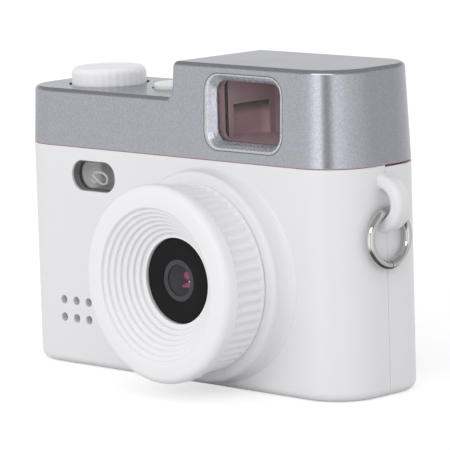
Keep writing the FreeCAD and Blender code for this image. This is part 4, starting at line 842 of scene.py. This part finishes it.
class CAMERA_OT_controls(PartOperator, bpy.types.Operator):
    """Finish the shutter button and the rear buttons, and mark their directions"""

    bl_idname = "compact_camera.controls"
    bl_label = "Controls"

    def execute(self, context):
        settings = context.scene.camera_shell
        white = plastic("white_control_plastic", shade(settings.shell_colour, 1.04), 0.3, 0.0002, 0.08)
        for name in ("shutter", "up", "down", "left", "right", "ok"):
            paint_nodes(white, name + "_button")
        dark = plastic("dark_switch_plastic", (0.03, 0.03, 0.032), 0.5)
        paint_nodes(dark, "dial_shaft", "dial_encoder", "shutter_plunger", "shutter_switch", "rear_switches")
        paint_nodes(metal("spring_steel", (0.55, 0.55, 0.56), 0.25), "shutter_spring")
        ink = plastic("grey_mark_ink", (0.10, 0.10, 0.11), 0.5, 0.0001, 0.02)
        for name, turn in (("up", 0), ("left", 90), ("down", 180), ("right", 270)):
            self.arrow(name, math.radians(turn), ink)
        return {"FINISHED"}

    def arrow(self, name, turn, ink):
        """Small printed triangle on a rear button, pointing its way."""
        low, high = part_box(name + "_button")
        middle = (low + high) / 2
        outline = []
        for k in range(3):
            angle = turn + math.tau * k / 3
            across, up = ARROW_RADIUS * math.sin(angle), ARROW_RADIUS * math.cos(angle)
            outline.append((middle.x + across, middle.z + up))
        mesh = plate(outline, high.y - ARROW_IN, high.y + ARROW_OUT)
        settle(mesh, name + "_mark", name + "_button", ink)


class CAMERA_OT_viewfinder(PartOperator, bpy.types.Operator):
    """Finish the viewfinder's panes and its tunnel"""

    bl_idname = "compact_camera.viewfinder"
    bl_label = "Viewfinder"

    def execute(self, context):
        settings = context.scene.camera_shell
        pane = clear("clear_viewfinder_pane", (0.5, 0.5, 0.5), 0.03, 0.05)
        paint_nodes(pane, "viewfinder_window", "viewfinder_eyepiece")
        # Tunnel plastic with painted shade in its slit and under its ledge, and painted light on its recess
        # wall
        bare = tunnel_plastic_painted_light_and_shade("tunnel_mauve_painted_light_shade", settings.inner_colour, (0.022, 0.007, 0.011))
        paint_nodes(bare, "viewfinder_tunnel")
        self.bezel()
        return {"FINISHED"}

    def bezel(self):
        """Bright stepped frame round the pane, and the dark joint line round the frame."""
        bright = streaked_metal("bright_bezel_plating", (0.58, 0.59, 0.64), 0.22)
        mesh = skin([self.frame_loop(*loop) for loop in BEZEL_LOOPS])
        settle(mesh, "viewfinder_bezel", "camera_body", bright, 50.0)
        line = plastic("bezel_joint_line", (0.10, 0.10, 0.12), 0.5)
        mesh = skin([self.frame_loop(*loop) for loop in JOINT_LOOPS])
        settle(mesh, "bezel_joint_line", "camera_body", line)

    def frame_loop(self, half, tall, depth):
        """Rounded loop of the frame, from the leaning front of the cover to the upright pane."""
        middle = PANE - RIM_SHIFT if half > RIM_HALF else PANE
        inward = min(1.0, max(0.0, depth / BEZEL_DEPTH))
        corner = BEZEL_CORNER - (BEZEL_HALF - half) * 0.7
        outline = rounded_box(middle, 2 * half * MM, 2 * tall * MM, corner * MM)
        loop = []
        for x, z in outline:
            face = TOP_LOW.y + TOP_LEAN * (z - PAINT_LOW)
            flush = depth < 0.05
            y = face + depth * MM if flush else face + (PANE_LOW.y - face) * inward
            loop.append((x, y, z))
        return loop


class CAMERA_OT_lamp(PartOperator, bpy.types.Operator):
    """Finish the lamp window, its reflector and its light source, and add a painted highlight curl"""

    bl_idname = "compact_camera.lamp"
    bl_label = "Lamp"

    def execute(self, context):
        middle = (LAMP_LOW + LAMP_HIGH) / 2
        pane = smoked("smoked_lamp_pane", (0.16, 0.155, 0.16), 0.06, 0.66, middle)
        paint_nodes(pane, "flash_window")
        paint_nodes(plastic("phosphor", (0.60, 0.58, 0.52), 0.6), "flash_led")
        self.bowl()
        self.curl()
        return {"FINISHED"}

    def bowl(self):
        """Long reflector bowl, open to the front."""
        middle = (REFLECTOR_LOW + REFLECTOR_HIGH) / 2
        wide, high = REFLECTOR_HIGH.x - REFLECTOR_LOW.x, REFLECTOR_HIGH.z - REFLECTOR_LOW.z
        deep = REFLECTOR_HIGH.y - REFLECTOR_LOW.y - BOWL_GAP
        loops = []
        for k in range(9):
            turn = math.pi / 2 * k / 8
            less = BOWL_CURVE * (1 - math.cos(turn))
            narrow = wide - BOWL_GAP - 2 * less
            low = high - BOWL_GAP - 1.6 * less
            y = REFLECTOR_LOW.y + deep * math.sin(turn)
            loops.append([(x, y, z) for x, z in rounded_box(middle, narrow, low, low * 0.49)])
        # Bowl coating with painted light on its walls
        dull = bowl_coating_painted_light("reflector_bowl_painted_light", (0.36, 0.35, 0.37), (0.82, 0.81, 0.82), middle)
        piece = settle(skin(loops, True), "lamp_bowl", "camera_body", dull, 50.0)
        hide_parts("flash_reflector")

    def curl(self):
        """Bright looped bar standing in for the curl of light in the lamp: a painted highlight."""
        depth = REFLECTOR_LOW.y + HIGHLIGHT_DEPTH * MM
        # Painted highlight: near-white bar in the shape of the curl of light
        highlight_white = metal("painted_highlight_curl_white", (0.95, 0.95, 0.95), 0.3, Metallic=0.0)
        for name, places in (("loop", HIGHLIGHT_LOOP), ("hook", HIGHLIGHT_HOOK)):
            points = [Vector((x * MM, depth, z * MM)) for x, z in places]
            mesh = cord(points, HIGHLIGHT_RADIUS * MM, 10, name == "loop")
            settle(mesh, "lamp_highlight_curl_" + name, "camera_body", highlight_white, 60.0)


class CAMERA_OT_strap(PartOperator, bpy.types.Operator):
    """Finish the strap ring"""

    bl_idname = "compact_camera.strap"
    bl_label = "Strap ring"

    def execute(self, context):
        paint_nodes(metal("bright_plated_steel", (0.64, 0.63, 0.62), 0.03, 0.02), "strap_ring")
        return {"FINISHED"}


class CAMERA_OT_display(PartOperator, bpy.types.Operator):
    """Finish the display window and mark the lit area on it"""

    bl_idname = "compact_camera.display"
    bl_label = "Display"

    def execute(self, context):
        window = plastic("black_display_window", (0.010, 0.010, 0.012), 0.08, 0.0004, 0.02, wear=0.03)
        paint_nodes(window, "lcd_window")
        panel = plastic("dark_panel", (0.03, 0.03, 0.04), 0.25)
        paint_nodes(panel, "lcd_module")
        middle = (SCREEN_LOW + SCREEN_HIGH) / 2
        wide = SCREEN_HIGH.x - SCREEN_LOW.x - SCREEN_MARGIN
        outline = rounded_box(middle, wide, wide * 3 / 4, SCREEN_CORNER)
        mesh = plate(outline, SCREEN_HIGH.y - SCREEN_IN, SCREEN_HIGH.y + SCREEN_OUT)
        settle(mesh, "screen_area", "camera_body", panel)
        return {"FINISHED"}


class CAMERA_OT_inside(PartOperator, bpy.types.Operator):
    """Finish the boards, the battery, the speaker, the sockets and the screws"""

    bl_idname = "compact_camera.inside"
    bl_label = "Inside"

    def execute(self, context):
        board = circuit("green_board", (0.02, 0.16, 0.07), (0.08, 0.30, 0.10))
        paint_nodes(board, "main_board", "top_board", "sensor_board", "flash_board")
        paint_nodes(film("amber_flex", (0.45, 0.20, 0.04)), "camera_flex", "lcd_flex", "top_flex")
        paint_nodes(plastic("chip_epoxy", (0.03, 0.03, 0.03), 0.55), "processor", "memory_chip")
        cream = plastic("cream_connector", (0.72, 0.68, 0.56), 0.45)
        paint_nodes(cream, "battery_connector", "camera_connector", "lcd_connector")
        paint_nodes(metal("battery_foil", (0.6, 0.61, 0.62), 0.35), "battery", "microphone")
        paint_nodes(metal("socket_steel", (0.55, 0.55, 0.56), 0.25), "usb_socket", "card_socket")
        screws = metal("screw_steel", (0.45, 0.45, 0.46), 0.3)
        for name in ("case", "board", "holder", "top_board", "top_cover"):
            paint_nodes(screws, name + "_screws")
        paint_nodes(plastic("speaker_case", (0.03, 0.03, 0.03), 0.5), "speaker")
        paint_nodes(foam("black_foam", (0.03, 0.03, 0.03)), "speaker_gasket", "battery_tape")
        paint_nodes(plastic("sensor_silicon", (0.06, 0.08, 0.12), 0.2), "image_sensor")
        return {"FINISHED"}


class CAMERA_OT_stage(PartOperator, bpy.types.Operator):
    """Make the pale floor, the white room, the key lamp and the camera"""

    bl_idname = "compact_camera.stage"
    bl_label = "Stage"

    def execute(self, context):
        settings = context.scene.camera_studio
        self.floor(context)
        self.room(context, settings)
        self.key_lamp(context, settings)
        self.camera(context, settings)
        context.scene.view_settings.view_transform = "Standard"
        return {"FINISHED"}

    def floor(self, context):
        """Pale floor that the eye sees as white paper with the object's soft shadow."""
        mesh = bmesh.new()
        bmesh.ops.create_grid(mesh, x_segments=4, y_segments=4, size=6.0)
        data = bpy.data.meshes.new("floor")
        mesh.to_mesh(data)
        mesh.free()
        floor = bpy.data.objects.new("floor", data)
        context.scene.collection.objects.link(floor)
        grey, paper = (FLOOR_LEVEL,) * 3, (PAPER_LEVEL,) * 3
        white = (1, 1, 1, 1)
        material, tree, shader = surface(
            "pale_floor", grey, 0.8, Specular_IOR_Level=0.0, Emission_Color=white)
        seen, mirrored = self.rays(tree)
        feed(
            tree, shader,
            Base_Color=blend(tree, seen, grey, paper),
            Emission_Strength=span(tree, seen, 0.0, PAPER_GLOW),
        )
        through = tree.nodes.new("ShaderNodeBsdfTransparent")
        either = tree.nodes.new("ShaderNodeMixShader")
        tree.links.new(mirrored, either.inputs[0])
        tree.links.new(shader.outputs["BSDF"], either.inputs[1])
        tree.links.new(through.outputs["BSDF"], either.inputs[2])
        tree.links.new(either.outputs["Shader"], tree.nodes["Material Output"].inputs["Surface"])
        paint(floor, material)

    def rays(self, tree):
        """Whether a ray comes from the eye, and whether from gloss or glass."""
        path = tree.nodes.new("ShaderNodeLightPath").outputs
        mirrored = maths(tree, "MAXIMUM", path["Is Glossy Ray"], path["Is Transmission Ray"])
        return path["Is Camera Ray"], mirrored

    def room(self, context, settings):
        """White room: even light, a white backdrop, and soft panels that gloss and metal show."""
        world = bpy.data.worlds.new("white_room")
        world.use_nodes = True
        tree = world.node_tree
        background = tree.nodes["Background"]
        background.inputs["Color"].default_value = (1, 1, 1, 1)
        way = axes(tree, tree.nodes.new("ShaderNodeTexCoord").outputs["Generated"])
        row = self.panel_row(tree, way)
        height = maths(tree, "ARCSINE", way["Z"])
        rise = soft_span(tree, height, *map(math.radians, UPPER_FADE))
        above = maths(tree, "MULTIPLY", rise, UPPER_LEVEL)
        row = maths(tree, "MULTIPLY", maths(tree, "SUBTRACT", 1.0, rise), row)
        sink = soft_span(tree, height, *map(math.radians, LOWER_FADE), LOWER_LEVEL)
        shown = maths(tree, "MULTIPLY", maths(tree, "ADD", above, row), sink)
        seen, mirrored = self.rays(tree)
        plain = maths(tree, "SUBTRACT", 1.0, maths(tree, "MAXIMUM", seen, mirrored))
        strength = maths(tree, "ADD", seen, maths(tree, "MULTIPLY", mirrored, shown))
        strength = maths(tree, "ADD", strength, maths(tree, "MULTIPLY", plain, settings.room_light))
        tree.links.new(strength, background.inputs["Strength"])
        context.scene.world = world

    def panel_row(self, tree, way):
        """Brightness of the panels along the horizon, by the turn from the front."""
        turn = maths(tree, "ARCTAN2", way["X"], maths(tree, "MULTIPLY", way["Y"], -1.0))
        ramp = tree.nodes.new("ShaderNodeValToRGB")
        part = maths(tree, "ADD", maths(tree, "DIVIDE", turn, math.tau), 0.5)
        tree.links.new(part, ramp.inputs["Fac"])
        stops = ramp.color_ramp.elements
        while len(stops) < len(PANELS):
            stops.new(0.5)
        for stop, (angle, level) in zip(stops, PANELS):
            stop.position = (angle + 180) / 360
            stop.color = colour4((level / PANEL_TOP,) * 3)
        return maths(tree, "MULTIPLY", ramp.outputs["Color"], PANEL_TOP)

    def key_lamp(self, context, settings):
        """Wide soft lamp above the camera."""
        data = bpy.data.lights.new("key_lamp", "AREA")
        data.shape = "RECTANGLE"
        data.size, data.size_y = KEY_SIZE
        data.energy = settings.key_light
        lamp = bpy.data.objects.new("key_lamp", data)
        context.scene.collection.objects.link(lamp)
        way = self.direction(math.radians(KEY_TURN), math.radians(KEY_RISE))
        placed = Matrix.Translation(KEY_TARGET + way * KEY_AWAY)
        lamp.matrix_world = placed @ (-way).to_track_quat("-Z", "Y").to_matrix().to_4x4()

    def direction(self, turn, rise):
        """Direction at a turn from the front and a rise above the horizon."""
        return Vector((math.sin(turn) * math.cos(rise), -math.cos(turn) * math.cos(rise), math.sin(rise)))

    def camera(self, context, settings):
        """Camera that looks at the object from where the settings say."""
        back = self.direction(settings.azimuth, settings.elevation)
        right = Vector((math.cos(settings.azimuth), math.sin(settings.azimuth), 0))
        up = back.cross(right)
        roll = Matrix.Rotation(settings.roll, 3, back)
        data = bpy.data.cameras.new("viewpoint")
        data.lens = settings.lens
        data.sensor_width = 36.0
        data.clip_start, data.clip_end = 0.05, 50.0
        camera = bpy.data.objects.new("viewpoint", data)
        context.scene.collection.objects.link(camera)
        facing = Matrix((roll @ right, roll @ up, back)).transposed().to_4x4()
        camera.matrix_world = Matrix.Translation(VIEW_TARGET + back * settings.distance) @ facing
        context.scene.camera = camera


class CAMERA_PT_parts(bpy.types.Panel):
    """Lists the operators and their sizes and colours"""

    bl_label = "Compact camera"
    bl_idname = "CAMERA_PT_parts"
    bl_space_type = "VIEW_3D"
    bl_region_type = "UI"
    bl_category = "Camera"

    def draw(self, context):
        for operator in OPERATORS:
            self.layout.operator(operator.bl_idname)
        for key in SETTINGS:
            group = getattr(context.scene, key)
            column = self.layout.column()
            for name in group.bl_rna.properties.keys():
                if name not in ("rna_type", "name"):
                    column.prop(group, name)


OPERATORS = (
    CAMERA_OT_covers,
    CAMERA_OT_lens_ring,
    CAMERA_OT_lens,
    CAMERA_OT_dial,
    CAMERA_OT_controls,
    CAMERA_OT_viewfinder,
    CAMERA_OT_lamp,
    CAMERA_OT_strap,
    CAMERA_OT_display,
    CAMERA_OT_inside,
    CAMERA_OT_stage,
)
SETTINGS = {
    "camera_shell": ShellSettings,
    "camera_lens": LensSettings,
    "camera_dial": DialSettings,
    "camera_studio": StudioSettings,
}


def register():
    """Makes the settings, operators and panel known."""
    for made in (*SETTINGS.values(), *OPERATORS, CAMERA_PT_parts):
        bpy.utils.register_class(made)
    for key, group in SETTINGS.items():
        setattr(bpy.types.Scene, key, PointerProperty(type=group))


def unregister():
    """Takes back what register made known."""
    for key in SETTINGS:
        delattr(bpy.types.Scene, key)
    for made in reversed((*SETTINGS.values(), *OPERATORS, CAMERA_PT_parts)):
        bpy.utils.unregister_class(made)


def main():
    """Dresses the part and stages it."""
    register()
    for operator in OPERATORS:
        group, name = operator.bl_idname.split(".")
        getattr(getattr(bpy.ops, group), name)()


if __name__ == "__main__":
    main()
